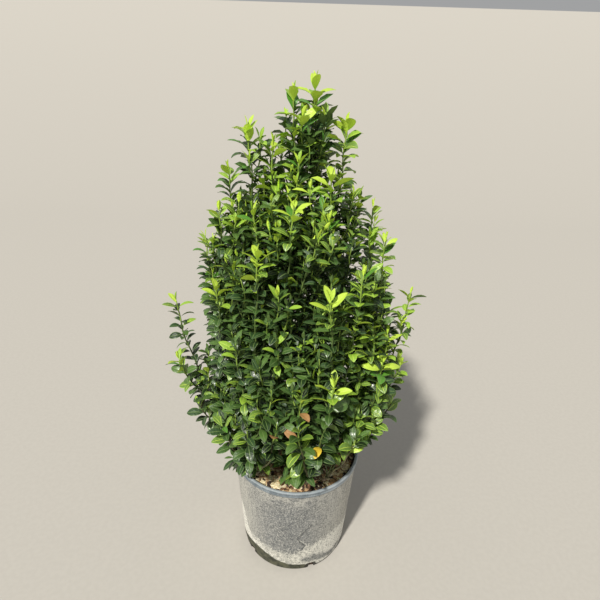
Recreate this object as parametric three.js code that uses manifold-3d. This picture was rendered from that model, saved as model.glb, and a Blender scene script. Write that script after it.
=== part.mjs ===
// A potted euonymus: a dense evergreen shrub of upright leafy shoots, standing in its grey nursery pot.
//
// Sizes are in millimetres. The origin is the centre of the pot's flat underside, +Z is up, and -Y is the
// side that is seen first. One short stem stands on the potting mix. It carries a bough for each mass of
// foliage, and a mass is a group of shoots that fork from its bough's tip, with side twigs and leaves in
// opposite pairs.

import * as THREE from "three";
import { mergeVertices } from "three/addons/utils/BufferGeometryUtils.js";
import Module from "manifold-3d";

const wasm = await Module();
wasm.setup();

// Pot
const POT_HEIGHT = 265;
const RIM_RADIUS = 145;
const RIM_BAND = 14;
const RIM_STEP = 5;
const RIM_OVERHANG = 4;
const BASE_RADIUS = 125;
const FOOT_HEIGHT = 18;
const FOOT_INSET = 1.5;
const WALL = 3;
const FLOOR_TOP = 4;
const FILLET_TOP = 9;
const POT_SIDES = 32;
const DRAIN_COUNT = 5;
const DRAIN_AZIMUTH = -70;
const DRAIN_WIDTH = 16;
const DRAIN_HEIGHT = 15;
const DRAIN_REACH = 24;

// Potting mix
const MIX_LEVEL = 249;
const MIX_LUMP = 3;
const MIX_PAD = 36;
const MIX_GAP = 1.4;
const MIX_SIDES = 24;
const MIX_RINGS = 4;

// Stem and boughs
const CLEAR = 0.3;
const STEM_HEIGHT = 100;
const STEM_FOOT = 26;
const STEM_RADIUS = 17;
const STEM_TOP = 12;
const STEM_SIDES = 12;
const BOUGH_SIDES = 5;
const BOUGH_STEPS = 5;
const BOUGH_TIP = 2.6;

// Foliage. Leaves are fewer than on the plant, and so longer than its 36 mm away from the shoots' tips.
const COLLAR = 9;
const SHOOT_FOOT = 2.6;
const SHOOT_TIP = 1.6;
const SHOOT_STEPS = 5;
const SHOOT_SIDES = 3;
const SHOOT_BARE = 12;
const TIP_LEAVES = 27;
const CORE_RADIUS = 38;
const CORE_SHARE = 0.45;
const LEAF_AT_TIP = 36;
const LEAF_IN_BODY = 66;
const LEAF_WIDTH = 0.5;
const LEAF_THICK = 0.05;
const LEAF_CURL = 0.08;
const LEAF_SINK = 0.9;
const LEAF_TRIES = [1, 0.8, 0.62];
const NODE_AT_TIP = 26;
const NODE_IN_BODY = 98;
const BODY_DEPTH = 170;
const TWIG_SIDES = 3;
const TWIG_FOOT = 2.2;
const TWIG_BARE = 16;
const TWIG_LENGTH = 74;
const TWIG_PLACES = [0.3];
const SPACE_GAP = 1.2;
const LIMB_GAP = 0.8;
const SEED = 41;

// Rings of boughs up the stem: the height of each above the mix, the rise of its boughs from the horizontal,
// and their radius where they leave the stem.
const RINGS = {
  low: { height: 24, rise: 34, radius: 4.4 },
  outer: { height: 46, rise: 52, radius: 3.7 },
  heart: { height: 66, rise: 62, radius: 3.4 },
  inner: { height: 78, rise: 69, radius: 3.6 },
  leader: { height: 92, rise: 90, radius: 4.6 },
};

// Each mass of foliage: the ring its bough leaves from, the height where its shoots fork, how far out they
// are there as a share of their tips' reach, and the top of the leaves at each shoot's tip.
const SEEN_MASSES = {
  top: { ring: "leader", fork: 600, spread: 0.5, tips: [[12, -2, 1051], [-24, 6, 1034]] },
  left_crown: { ring: "inner", fork: 530, spread: 0.8, tips: [[-101, 4, 981], [-55, -32, 957]] },
  right_crown: { ring: "inner", fork: 520, spread: 0.75, tips: [[70, 6, 989], [44, -58, 911]] },
  left_high: { ring: "inner", fork: 470, spread: 0.82, tips: [[-139, 22, 906], [-150, -35, 845]] },
  right_high: { ring: "inner", fork: 460, spread: 0.84, tips: [[128, 14, 849], [149, -38, 803]] },
  front_high: { ring: "inner", fork: 460, spread: 0.85, tips: [[-17, -118, 877], [-84, -84, 857]] },
  left_shoulder: { ring: "outer", fork: 390, spread: 0.82, tips: [[-187, 12, 781], [-150, -98, 725]] },
  front_left: { ring: "outer", fork: 385, spread: 0.86, tips: [[-72, -146, 804], [-112, -142, 640]] },
  front_right: { ring: "outer", fork: 380, spread: 0.86, tips: [[46, -186, 746], [100, -136, 770]] },
  right_low: { ring: "outer", fork: 360, spread: 0.78, tips: [[165, -76, 630], [152, -124, 598]] },
  left_out: { ring: "outer", fork: 372, spread: 0.68, tips: [[-252, 2, 651], [-244, -44, 541]] },
  right_out: { ring: "outer", fork: 372, spread: 0.7, tips: [[219, 6, 679], [205, -52, 553]] },
  heart_left: { ring: "heart", fork: 398, spread: 0.7, tips: [[-74, -58, 650], [-66, 40, 620]] },
  heart_front: { ring: "heart", fork: 376, spread: 0.62, tips: [[-10, -120, 560], [20, -76, 610]] },
  heart_right: { ring: "heart", fork: 390, spread: 0.84, tips: [[78, -66, 630], [92, 20, 640]] },
  front_low: { ring: "low", fork: 326, spread: 0.78, tips: [[59, -202, 598], [2, -212, 520]] },
  skirt_front_left: { ring: "low", fork: 306, spread: 0.72, tips: [[-88, -196, 500], [-142, -152, 470]] },
  skirt_front_right: { ring: "low", fork: 306, spread: 0.72, tips: [[108, -178, 470], [66, -198, 400]] },
  skirt_left: { ring: "low", fork: 306, spread: 0.7, tips: [[-206, -58, 440], [-214, 34, 430]] },
  skirt_right: { ring: "low", fork: 306, spread: 0.7, tips: [[200, -34, 440], [196, 54, 430]] },
};

// The far side of the crown repeats masses of the near side, turned round behind and grown differently:
// reach widens them and lower brings their tops down.
const BEHIND = {
  back_high: { like: "front_high", reach: 0.96, lower: 14 },
  back_left: { like: "front_left", reach: 1.0, lower: 22 },
  back_right: { like: "front_right", reach: 0.95, lower: 16 },
  back_right_low: { like: "right_low", reach: 1.04, lower: -24 },
  back_left_low: { like: "left_shoulder", reach: 0.98, lower: 60 },
  back_low: { like: "front_low", reach: 0.98, lower: 10 },
  skirt_back_left: { like: "skirt_front_left", reach: 1.02, lower: -14 },
  skirt_back_right: { like: "skirt_front_right", reach: 0.98, lower: -10 },
};

const vector = (x, y, z) => new THREE.Vector3(x, y, z);
const radians = THREE.MathUtils.degToRad;
const mix = THREE.MathUtils.lerp;
const share = (value, from, to) => THREE.MathUtils.clamp((value - from) / (to - from), 0, 1);

// Numbers from 0 to 1 that are the same on every run.
function seeded(seed) {
  let state = seed;
  return () => {
    state = (state + 0x6d2b79f5) | 0;
    let t = Math.imul(state ^ (state >>> 15), 1 | state);
    t = (t + Math.imul(t ^ (t >>> 7), 61 | t)) ^ t;
    return ((t ^ (t >>> 14)) >>> 0) / 4294967296;
  };
}

// A closed geometry as a solid that can be joined and cut.
function solidOf(geometry) {
  const flat = geometry.index ? geometry.toNonIndexed() : geometry;
  const bare = new THREE.BufferGeometry().setAttribute("position", flat.getAttribute("position"));
  const merged = mergeVertices(bare, 1e-3);
  const corners = merged.index.array;
  const kept = [];
  for (let i = 0; i < corners.length; i += 3) {
    const [a, b, c] = corners.slice(i, i + 3);
    if (a !== b && b !== c && c !== a) kept.push(a, b, c);
  }
  const triVerts = new Uint32Array(kept);
  const vertProperties = merged.attributes.position.array;
  return new wasm.Manifold(new wasm.Mesh({ numProp: 3, vertProperties, triVerts }));
}

// The solid's largest body as a geometry: scraps are dropped, and so is the skin of a sealed hollow.
function geometryOf(solid) {
  const bodies = solid.decompose().sort((a, b) => b.volume() - a.volume());
  const made = bodies[0].getMesh();
  const places = new Float32Array(made.numVert * 3);
  for (let i = 0; i < made.numVert; i++) {
    places.set(made.vertProperties.subarray(i * made.numProp, i * made.numProp + 3), i * 3);
  }
  const geometry = new THREE.BufferGeometry();
  geometry.setAttribute("position", new THREE.BufferAttribute(places, 3));
  geometry.setIndex(new THREE.BufferAttribute(made.triVerts.slice(), 1));
  return geometry;
}

// Joins solids two by two, which stays quick for many.
function joined(solids) {
  let left = solids;
  while (left.length > 1) {
    const next = [];
    for (let i = 0; i < left.length; i += 2) {
      next.push(i + 1 < left.length ? left[i].add(left[i + 1]) : left[i]);
    }
    left = next;
  }
  return left[0];
}

// A closed round limb along points, with a radius at each and flat ends.
function limb(points, radii, sides) {
  const rings = points.map((point, i) => {
    const before = points[Math.max(i - 1, 0)];
    const after = points[Math.min(i + 1, points.length - 1)];
    return { point, along: after.clone().sub(before).normalize(), radius: radii[i] };
  });
  const places = [];
  let across = Math.abs(rings[0].along.x) < 0.9 ? vector(1, 0, 0) : vector(0, 1, 0);
  for (const { point, along, radius } of rings) {
    across = across.clone().addScaledVector(along, -across.dot(along)).normalize();
    const third = along.clone().cross(across);
    for (let k = 0; k < sides; k++) {
      const turn = (2 * Math.PI * k) / sides;
      const corner = point.clone().addScaledVector(across, radius * Math.cos(turn));
      places.push(corner.addScaledVector(third, radius * Math.sin(turn)));
    }
  }
  const faces = [];
  for (let i = 0; i + 1 < rings.length; i++) {
    for (let k = 0; k < sides; k++) {
      const [a, b] = [i * sides + k, i * sides + ((k + 1) % sides)];
      faces.push(a, b, b + sides, a, b + sides, a + sides);
    }
  }
  const end = (rings.length - 1) * sides;
  for (let k = 1; k + 1 < sides; k++) {
    faces.push(0, k + 1, k, end, end + k, end + k + 1);
  }
  return new THREE.BufferGeometry().setFromPoints(places).setIndex(faces);
}

// Radius of the outside of the pot's wall at a height, and of the inside, where it ends in a small fillet.
const outerRadius = (z) => mix(BASE_RADIUS, RIM_RADIUS - RIM_OVERHANG, z / (POT_HEIGHT - RIM_BAND));
const innerRadius = (z) =>
  mix(
    BASE_RADIUS - FOOT_INSET - WALL,
    RIM_RADIUS - RIM_OVERHANG - WALL,
    (z - FILLET_TOP) / (POT_HEIGHT - 2 - FILLET_TOP),
  );

// The pot is turned in one piece: a floor, a foot set in a little, a thin wall and a stepped rim band.
function potGeometry() {
  const band = POT_HEIGHT - RIM_BAND;
  const foot = BASE_RADIUS - FOOT_INSET;
  const inside = innerRadius(POT_HEIGHT - 2);
  const profile = [
    [0, 0],
    [foot - 2, 0],
    [foot, 2],
    [foot, FOOT_HEIGHT - 1],
    [outerRadius(FOOT_HEIGHT), FOOT_HEIGHT + 1],
    [outerRadius(band), band],
    [RIM_RADIUS - 1.5, band + 1.5],
    [RIM_RADIUS - 1.5, POT_HEIGHT - RIM_STEP - 1],
    [RIM_RADIUS, POT_HEIGHT - RIM_STEP],
    [RIM_RADIUS, POT_HEIGHT - 2],
    [RIM_RADIUS - 2, POT_HEIGHT],
    [inside + 1, POT_HEIGHT],
    [inside, POT_HEIGHT - 2],
    [innerRadius(FILLET_TOP), FILLET_TOP],
    [innerRadius(FILLET_TOP) - 5, FLOOR_TOP],
    [0, FLOOR_TOP],
  ].map(([radius, z]) => new THREE.Vector2(radius, z));
  let solid = solidOf(new THREE.LatheGeometry(profile, POT_SIDES).rotateX(Math.PI / 2));
  for (let k = 0; k < DRAIN_COUNT; k++) {
    solid = solid.subtract(drainCutter(DRAIN_AZIMUTH + (360 * k) / DRAIN_COUNT));
  }
  return geometryOf(solid);
}

// An arch that cuts through the foot of the wall and the edge of the floor.
function drainCutter(azimuth) {
  const half = DRAIN_WIDTH / 2;
  const spring = DRAIN_HEIGHT - half;
  const arch = new THREE.Shape();
  arch.moveTo(-half, -2);
  arch.lineTo(half, -2);
  arch.lineTo(half, spring);
  arch.absarc(0, spring, half, 0, Math.PI, false);
  const block = { depth: 2 * DRAIN_REACH, bevelEnabled: false, curveSegments: 4 };
  const cutter = new THREE.ExtrudeGeometry(arch, block);
  cutter.rotateX(Math.PI / 2).rotateZ(Math.PI / 2).translate(BASE_RADIUS - DRAIN_REACH, 0, 0);
  return solidOf(cutter.rotateZ(radians(azimuth)));
}

// Height of the potting mix: lumpy, and level round the stem and where it meets the wall.
function mixHeight(x, y) {
  const radius = Math.hypot(x, y);
  const lumps = Math.sin(x * 0.071 + 1.3) * Math.cos(y * 0.083 - 0.6) + 0.6 * Math.sin(x * 0.19 - y * 0.16);
  return MIX_LEVEL + MIX_LUMP * lumps * share(radius, MIX_PAD, MIX_PAD + 22);
}

// The potting mix fills the pot, a little clear of its floor and wall.
function pottingMixGeometry() {
  const floor = FLOOR_TOP + CLEAR;
  const foot = innerRadius(FILLET_TOP) - MIX_GAP;
  const shoulder = MIX_LEVEL - 8;
  const edge = innerRadius(shoulder) - MIX_GAP;
  const profile = [
    [0, floor],
    [foot - 5, floor],
    [foot, FILLET_TOP + 1],
    [edge, shoulder],
  ];
  for (let k = MIX_RINGS; k >= 0; k--) {
    profile.push([mix(MIX_PAD, edge - 3, k / MIX_RINGS), MIX_LEVEL]);
  }
  profile.push([0, MIX_LEVEL]);
  const points = profile.map(([radius, z]) => new THREE.Vector2(radius, z));
  const geometry = new THREE.LatheGeometry(points, MIX_SIDES).rotateX(Math.PI / 2);
  const place = geometry.attributes.position;
  for (let i = 0; i < place.count; i++) {
    if (place.getZ(i) > MIX_LEVEL - 1) place.setZ(i, mixHeight(place.getX(i), place.getY(i)));
  }
  return geometryOf(solidOf(geometry));
}

// The stem's profile, grown outwards by a clearance where boughs are cut to meet it.
function stemGeometry(grown = 0) {
  const foot = MIX_LEVEL + CLEAR;
  const profile = [
    [0, foot - grown],
    [STEM_FOOT + grown, foot - grown],
    [STEM_RADIUS + 2 + grown, foot + 12],
    [STEM_RADIUS + grown, foot + 26],
    [mix(STEM_RADIUS, STEM_TOP, 0.6) + grown, foot + 66],
    [STEM_TOP + grown, foot + STEM_HEIGHT - 6],
    [STEM_TOP - 5, foot + STEM_HEIGHT + grown],
    [0, foot + STEM_HEIGHT + grown],
  ].map(([radius, z]) => new THREE.Vector2(radius, z));
  return new THREE.LatheGeometry(profile, STEM_SIDES).rotateX(Math.PI / 2);
}

// The masses of the whole crown: those seen, and those turned round behind.
function allMasses() {
  const masses = Object.entries(SEEN_MASSES).map(([name, mass]) => ({ name, ...mass }));
  for (const [name, { like, reach, lower }] of Object.entries(BEHIND)) {
    const model = SEEN_MASSES[like];
    const tips = model.tips.map(([x, y, z]) => [x * reach, Math.abs(y) * reach + 8, z - lower]);
    masses.push({ name, ring: model.ring, fork: model.fork, spread: model.spread, tips });
  }
  return masses.map((mass, index) => ({
    ...mass,
    index,
    tips: mass.tips.map(([x, y, z]) => vector(x, y, z)),
  }));
}

// Where a mass forks, on the azimuth of its tips' middle, and the slope at which its bough arrives there.
function forkOf(mass) {
  const sum = mass.tips.reduce((total, tip) => total.add(tip), vector(0, 0, 0));
  const middle = sum.divideScalar(mass.tips.length);
  const reach = Math.hypot(middle.x, middle.y);
  const azimuth = Math.atan2(middle.y, middle.x);
  const lean = Math.atan2(reach * (1 - mass.spread), middle.z - mass.fork) * 0.6;
  return { azimuth, radius: reach * mass.spread, height: mass.fork, lean };
}

// A turn brought to between -PI and PI.
const wrapped = (turn) => Math.atan2(Math.sin(turn), Math.cos(turn));

// The azimuths at which a ring's boughs leave the stem: evenly round it, in the order of their masses.
function slotAzimuths(forks) {
  const order = forks.map((_, k) => k).sort((a, b) => forks[a].azimuth - forks[b].azimuth);
  const step = (2 * Math.PI) / forks.length;
  const offsets = order.map((member, place) => forks[member].azimuth - place * step);
  const sum = (wave) => offsets.reduce((total, turn) => total + wave(turn), 0);
  const start = Math.atan2(sum(Math.sin), sum(Math.cos));
  const slots = [];
  order.forEach((member, place) => (slots[member] = start + place * step));
  return slots;
}

// A bough from inside the stem to its mass's fork: it swings round from its slot to the fork's azimuth.
function boughOf(ring, slot, fork) {
  const foot = new THREE.Vector2(0, MIX_LEVEL + ring.height);
  const end = new THREE.Vector2(fork.radius, fork.height);
  const length = foot.distanceTo(end);
  const rise = radians(ring.rise);
  const leave = new THREE.Vector2(Math.cos(rise), Math.sin(rise)).multiplyScalar(length * 0.42);
  const arrive = new THREE.Vector2(Math.sin(fork.lean), Math.cos(fork.lean)).multiplyScalar(length * 0.34);
  const profile = new THREE.CubicBezierCurve(foot, foot.clone().add(leave), end.clone().sub(arrive), end);
  const points = profile.getSpacedPoints(BOUGH_STEPS).map((place, i) => {
    const azimuth = slot + wrapped(fork.azimuth - slot) * THREE.MathUtils.smoothstep(i, 0, BOUGH_STEPS - 1);
    return vector(place.x * Math.cos(azimuth), place.x * Math.sin(azimuth), place.y);
  });
  const radii = points.map((_, i) => mix(ring.radius, BOUGH_TIP, i / BOUGH_STEPS));
  const tip = points[BOUGH_STEPS];
  const along = tip.clone().sub(points[BOUGH_STEPS - 1]).normalize();
  return { points, radii, tip, along };
}

function allBoughs(masses) {
  const boughs = new Map();
  for (const [name, ring] of Object.entries(RINGS)) {
    const members = masses.filter((mass) => mass.ring === name);
    const forks = members.map(forkOf);
    const slots = slotAzimuths(forks);
    members.forEach((mass, k) => boughs.set(mass.name, boughOf(ring, slots[k], forks[k])));
  }
  return boughs;
}

// The shoots of a mass: each curves up from the fork to its own tip, with a small seeded sway.
function shootsOf(mass, bough) {
  return mass.tips.map((tip, k) => {
    const random = seeded(SEED + 101 * mass.index + 17 * k);
    const foot = bough.tip.clone().addScaledVector(bough.along, COLLAR * 0.6);
    const end = tip.clone().setZ(tip.z - TIP_LEAVES);
    const rise = end.z - foot.z;
    const sway = vector(random() - 0.5, random() - 0.5, 0).multiplyScalar(rise * 0.06);
    const curve = new THREE.CubicBezierCurve3(
      foot,
      foot.clone().lerp(end, 0.3).addScaledVector(bough.along, rise * 0.1),
      vector(mix(foot.x, end.x, 0.86), mix(foot.y, end.y, 0.86), mix(foot.z, end.z, 0.6)).add(sway),
      end,
    );
    return { curve, length: curve.getLength(), line: curve.getSpacedPoints(10), random };
  });
}

// Distance from a place to a line of points.
function distanceTo(points, place) {
  const segment = new THREE.Line3();
  const nearest = vector(0, 0, 0);
  let least = Infinity;
  for (let i = 0; i + 1 < points.length; i++) {
    segment.set(points[i], points[i + 1]);
    segment.closestPointToPoint(place, true, nearest);
    least = Math.min(least, nearest.distanceTo(place));
  }
  return least;
}

// Distances from a place to a mass's own shoots, to the nearest shoot of any other mass, and to any bough.
function distances(mass, place, plant) {
  let own = Infinity;
  let other = Infinity;
  let bough = Infinity;
  for (const [name, shoots] of plant.shoots) {
    const nearest = Math.min(...shoots.map(({ line }) => distanceTo(line, place)));
    if (name === mass.name) own = nearest;
    else other = Math.min(other, nearest);
  }
  for (const { points, radii } of plant.boughs.values()) {
    bough = Math.min(bough, distanceTo(points, place) - radii[0]);
  }
  return { own, other, bough };
}

// A place is free for a mass if it is nearer to its own shoots than to any other's, and clear of every
// bough, of the stem, and of the pot and its mix.
function freeFor(mass, place, plant) {
  const radius = Math.hypot(place.x, place.y);
  if (radius < RIM_RADIUS + 3 && place.z < POT_HEIGHT + 3) return false;
  if (radius < STEM_FOOT + 3 && place.z < MIX_LEVEL + STEM_HEIGHT + 6) return false;
  const { own, other, bough } = distances(mass, place, plant);
  return other > own + SPACE_GAP && bough > LIMB_GAP;
}

// A shoot with the dense core round its lower part, which narrows to nothing towards the tip.
function shootLimb(mass, shoot, plant) {
  const shares = Array.from({ length: SHOOT_STEPS + 1 }, (_, i) => i / SHOOT_STEPS);
  const points = shares.map((along) => shoot.curve.getPointAt(along));
  const radii = shares.map((along, i) => {
    const { other, bough } = distances(mass, points[i], plant);
    const room = Math.max(Math.min(other, bough) * CORE_SHARE - SHOOT_FOOT, 0);
    const depth = (1 - along) * shoot.length;
    const core = Math.min(CORE_RADIUS, room) * share(depth, 60, 220) * share(along, 0, 0.1);
    return mix(SHOOT_FOOT, SHOOT_TIP, along) + core;
  });
  const { curve, length, random } = shoot;
  const solid = solidOf(limb(points, radii, SHOOT_SIDES));
  return { ...boxed(solid, points), curve, length, bare: SHOOT_BARE, phase: random() * Math.PI };
}

// The corners of a leaf: its root, its tip and its two sides, and the keel of its midrib below them.
function leafCorners(root, along, across, length) {
  const normal = along.clone().cross(across).normalize();
  const at = (ahead, side, lift) =>
    root.clone().addScaledVector(along, ahead).addScaledVector(across, side).addScaledVector(normal, lift);
  const half = (length * LEAF_WIDTH) / 2;
  return {
    root: at(-LEAF_SINK, 0, 0),
    left: at(length * 0.56, -half, 0),
    right: at(length * 0.56, half, 0),
    tip: at(length, 0, -length * LEAF_CURL),
    keel: at(length * 0.5, 0, -length * LEAF_THICK),
  };
}

function leafSolid({ root, left, right, tip, keel }) {
  const faces = [0, 1, 2, 3, 2, 1, 0, 4, 1, 0, 2, 4, 3, 1, 4, 3, 4, 2];
  return solidOf(new THREE.BufferGeometry().setFromPoints([root, left, right, tip, keel]).setIndex(faces));
}

// A leaf keeps to its mass's space if its corners and the middles of its edges do.
function leafFits(mass, corners, plant) {
  const { root, left, right, tip, keel } = corners;
  const between = (from, to, along) => from.clone().lerp(to, along);
  const probes = [left, right, tip, keel, between(root, left, 0.6), between(root, right, 0.6)];
  probes.push(between(left, tip, 0.5), between(right, tip, 0.5));
  return probes.every((place) => freeFor(mass, place, plant));
}

// A solid with a box round the points that it was made along, which tells quickly what is far from it.
function boxed(solid, points) {
  return { solid, box: new THREE.Box3().setFromPoints(points).expandByScalar(RINGS.leader.radius) };
}

function crosses(piece, others) {
  return others.some(({ solid, box }) => {
    return box.intersectsBox(piece.box) && solid.intersect(piece.solid).volume() > 0.01;
  });
}

// A pair of leaves at a node of a shoot or twig, each as long as fits. One that would leave the mass's
// space, or cross a bough, a leaf or another limb of the mass, is left out.
function leafPair(mass, node, length, others, plant) {
  const { place, axis, turn, open } = node;
  const pair = [];
  const side = Math.abs(axis.x) < 0.9 ? vector(1, 0, 0) : vector(0, 1, 0);
  const first = side.addScaledVector(axis, -side.dot(axis)).normalize().applyAxisAngle(axis, turn);
  for (const sign of [1, -1]) {
    const out = first.clone().multiplyScalar(sign);
    const along = axis.clone().multiplyScalar(Math.cos(open)).addScaledVector(out, Math.sin(open));
    const across = axis.clone().cross(out).normalize();
    for (const scale of LEAF_TRIES) {
      const corners = leafCorners(place, along, across, length * scale);
      if (!leafFits(mass, corners, plant)) continue;
      const leaf = boxed(leafSolid(corners), Object.values(corners));
      if (crosses(leaf, others)) continue;
      pair.push(leaf);
      break;
    }
  }
  return pair;
}

// Leaves in pairs down a limb from its tip, each pair a quarter turn round from the last.
function leavesOn(mass, limbs, own, placed, plant) {
  const { curve, length, bare, phase } = limbs[own];
  const others = [...plant.timber, ...limbs.filter((_, k) => k !== own), ...placed];
  let depth = 3;
  let turn = phase;
  while (depth < length - bare) {
    const along = 1 - depth / length;
    const inBody = share(depth, 0, BODY_DEPTH);
    const size = mix(LEAF_AT_TIP, LEAF_IN_BODY, Math.sqrt(inBody));
    const open = radians(mix(34, 62, share(depth, 0, 70)));
    const node = { place: curve.getPointAt(along), axis: curve.getTangentAt(along), turn, open };
    const pair = leafPair(mass, node, size, others, plant);
    others.push(...pair);
    placed.push(...pair);
    depth += mix(NODE_AT_TIP, NODE_IN_BODY, inBody);
    turn += Math.PI / 2;
  }
}

// Short side twigs low on a shoot, which lean away from the crown's middle.
function twigLimbs(mass, shoot, plant) {
  const twigs = [];
  for (const along of TWIG_PLACES) {
    const foot = shoot.curve.getPointAt(along);
    const azimuth = Math.atan2(foot.y, foot.x) + (shoot.random() - 0.5) * 2.4;
    const length = TWIG_LENGTH * (0.75 + 0.5 * shoot.random());
    const out = vector(Math.cos(azimuth), Math.sin(azimuth), 1.1).normalize();
    const tip = foot.clone().addScaledVector(out, length);
    const phase = shoot.random() * Math.PI;
    if (!freeFor(mass, foot.clone().lerp(tip, 0.5), plant) || !freeFor(mass, tip, plant)) continue;
    const twig = boxed(solidOf(limb([foot, tip], [TWIG_FOOT, SHOOT_TIP], TWIG_SIDES)), [foot, tip]);
    if (crosses(twig, plant.timber)) continue;
    twigs.push({ ...twig, curve: new THREE.LineCurve3(foot, tip), length, bare: TWIG_BARE, phase });
  }
  return twigs;
}

function foliageGeometry(mass, plant) {
  const bough = plant.boughs.get(mass.name);
  const ahead = (distance) => bough.tip.clone().addScaledVector(bough.along, distance);
  const collar = [ahead(CLEAR), ahead(CLEAR + COLLAR)];
  const collarSolid = solidOf(limb(collar, [BOUGH_TIP, BOUGH_TIP + 0.4], BOUGH_SIDES));
  const shoots = plant.shoots.get(mass.name);
  const limbs = shoots.map((shoot) => shootLimb(mass, shoot, plant));
  for (const shoot of shoots) limbs.push(...twigLimbs(mass, shoot, plant));
  const leaves = [];
  limbs.forEach((_, own) => leavesOn(mass, limbs, own, leaves, plant));
  return geometryOf(joined([collarSolid, ...[...limbs, ...leaves].map(({ solid }) => solid)]));
}

const MATERIALS = {
  pot: new THREE.MeshStandardMaterial({ color: 0x8b8a86, roughness: 0.75, metalness: 0 }),
  mix: new THREE.MeshStandardMaterial({ color: 0x5a4230, roughness: 0.95, metalness: 0 }),
  bark: new THREE.MeshStandardMaterial({ color: 0x7b6f55, roughness: 0.85, metalness: 0 }),
  leaf: new THREE.MeshStandardMaterial({ color: 0x2f6b24, roughness: 0.35, metalness: 0 }),
};

function named(name, geometry, material) {
  const mesh = new THREE.Mesh(geometry, material);
  mesh.name = name;
  return mesh;
}

function pottedEuonymus() {
  const group = new THREE.Group();
  group.add(named("pot", potGeometry(), MATERIALS.pot));
  group.add(named("potting_mix", pottingMixGeometry(), MATERIALS.mix));
  group.add(named("stem", geometryOf(solidOf(stemGeometry())), MATERIALS.bark));

  const masses = allMasses();
  const boughs = allBoughs(masses);
  const shoots = new Map(masses.map((mass) => [mass.name, shootsOf(mass, boughs.get(mass.name))]));
  const grownStem = solidOf(stemGeometry(CLEAR));
  const timber = masses.map(({ name }) => {
    const { points, radii } = boughs.get(name);
    return boxed(solidOf(limb(points, radii, BOUGH_SIDES)).subtract(grownStem), points);
  });
  const plant = { boughs, shoots, timber };
  masses.forEach((mass, k) => {
    group.add(named(`bough_${mass.name}`, geometryOf(timber[k].solid), MATERIALS.bark));
    group.add(named(`foliage_${mass.name}`, foliageGeometry(mass, plant), MATERIALS.leaf));
  });
  return group;
}

export default pottedEuonymus();
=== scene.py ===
"""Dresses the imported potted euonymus: bark, shoots, leaves, potting mix and a weathered nursery pot.

The plant's tables are those of the part's source and are in millimetres; meshes are written in metres.
"""

import itertools
import math

import bpy
import numpy as np
from mathutils import Matrix, Vector


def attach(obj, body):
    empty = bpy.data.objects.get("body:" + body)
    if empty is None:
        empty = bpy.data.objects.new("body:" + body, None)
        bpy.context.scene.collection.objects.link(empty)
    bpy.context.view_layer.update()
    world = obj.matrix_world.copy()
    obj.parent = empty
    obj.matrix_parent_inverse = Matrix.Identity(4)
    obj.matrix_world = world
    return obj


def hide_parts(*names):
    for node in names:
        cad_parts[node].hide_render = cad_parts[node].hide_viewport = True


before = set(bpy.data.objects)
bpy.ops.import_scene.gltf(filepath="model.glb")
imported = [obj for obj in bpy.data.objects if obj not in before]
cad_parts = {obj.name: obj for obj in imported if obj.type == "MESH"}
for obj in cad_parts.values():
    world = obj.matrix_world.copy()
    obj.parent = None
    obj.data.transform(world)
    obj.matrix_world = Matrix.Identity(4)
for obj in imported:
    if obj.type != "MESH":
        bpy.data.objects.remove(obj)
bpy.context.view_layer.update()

MM = 0.001
UP = np.array([0.0, 0.0, 1.0])

# Pot
POT_HEIGHT = 265
RIM_RADIUS = 145
RIM_BAND = 14
RIM_STEP = 5
RIM_OVERHANG = 4
BASE_RADIUS = 125
FOOT_HEIGHT = 18
FOOT_INSET = 1.5
WALL = 3
FLOOR_TOP = 4
FILLET_TOP = 9
POT_SIDES = 160
DRAIN_COUNT = 5
DRAIN_AZIMUTH = -70
DRAIN_WIDTH = 16
DRAIN_HEIGHT = 15
DRAIN_REACH = 24
POT_DENT = 0.5
POT_MIDDLE = 132
MARKS_UNDER = 0.2

# Marks on the pot, by azimuth in degrees and height: the top of the limescale, the top of the dark foot,
# a grey smear, and a crack with a pale edge. The bloom is a share: real bloom, with painted light making
# the pot paler at the right front. MARKS_UNDER is in metres.
LIME_TOP = [
    (-180, 80), (-165, 120), (-152, 128), (-144, 70), (-129, 65), (-103, 63), (-89, 62), (-83, 72),
    (-75, 85), (-59, 94), (-46, 98), (-31, 96), (-5, 78), (30, 55), (90, 50), (140, 60), (180, 80),
]
FOOT_TOP = [
    (-180, 20), (-150, 38), (-128, 42), (-115, 34), (-98, 23), (-88, 20), (-78, 17), (-74, 9),
    (-68, 6), (-60, 5), (0, 5), (40, 12), (100, 22), (150, 18), (180, 20),
]
POT_BLOOM_AND_LIGHT = [
    (-180, 0.6), (-150, 0.72), (-136, 0.55), (-122, 0.22), (-106, 0.06), (-88, 0.05), (-74, 0.16),
    (-58, 0.42), (-42, 0.75), (-20, 0.9), (10, 0.7), (60, 0.3), (120, 0.3), (180, 0.6),
]
SMEAR = [(-76, 36), (-69, 36), (-62, 33), (-54, 24), (-44, 16), (-34, 20)]
CRACK = [(-73, 157), (-80, 136), (-86, 115), (-84, 105), (-78, 88), (-81, 74), (-85, 70)]
CRACK_EDGE = [(-85, 112), (-82.6, 105), (-76.6, 89), (-79.6, 72), (-84, 66)]

# Potting mix
MIX_LEVEL = 249
MIX_LUMP = 3
MIX_PAD = 36
MIX_GAP = 1.4
MIX_SIDES = 144
MIX_RINGS = 34
CHIP_SEED = 17
CHIP_COUNT = 2300
CHIP_REACH = 134
PALE_CHIPS = [(-66, -92, 34), (-34, -104, 26), (90, -86, 32), (122, -50, 18), (-20, 90, 36), (80, 60, 26)]
NOTCH_CHIPS = 44
STALK_SEED = 23
STALK_COUNT = 18

# How often a chip is cream, tan, brown or dark, away from the pale patches and on them.
CHIP_ODDS = np.array([0.06, 0.24, 0.4, 0.3])
PALE_ODDS = np.array([0.62, 0.28, 0.07, 0.03])

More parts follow.
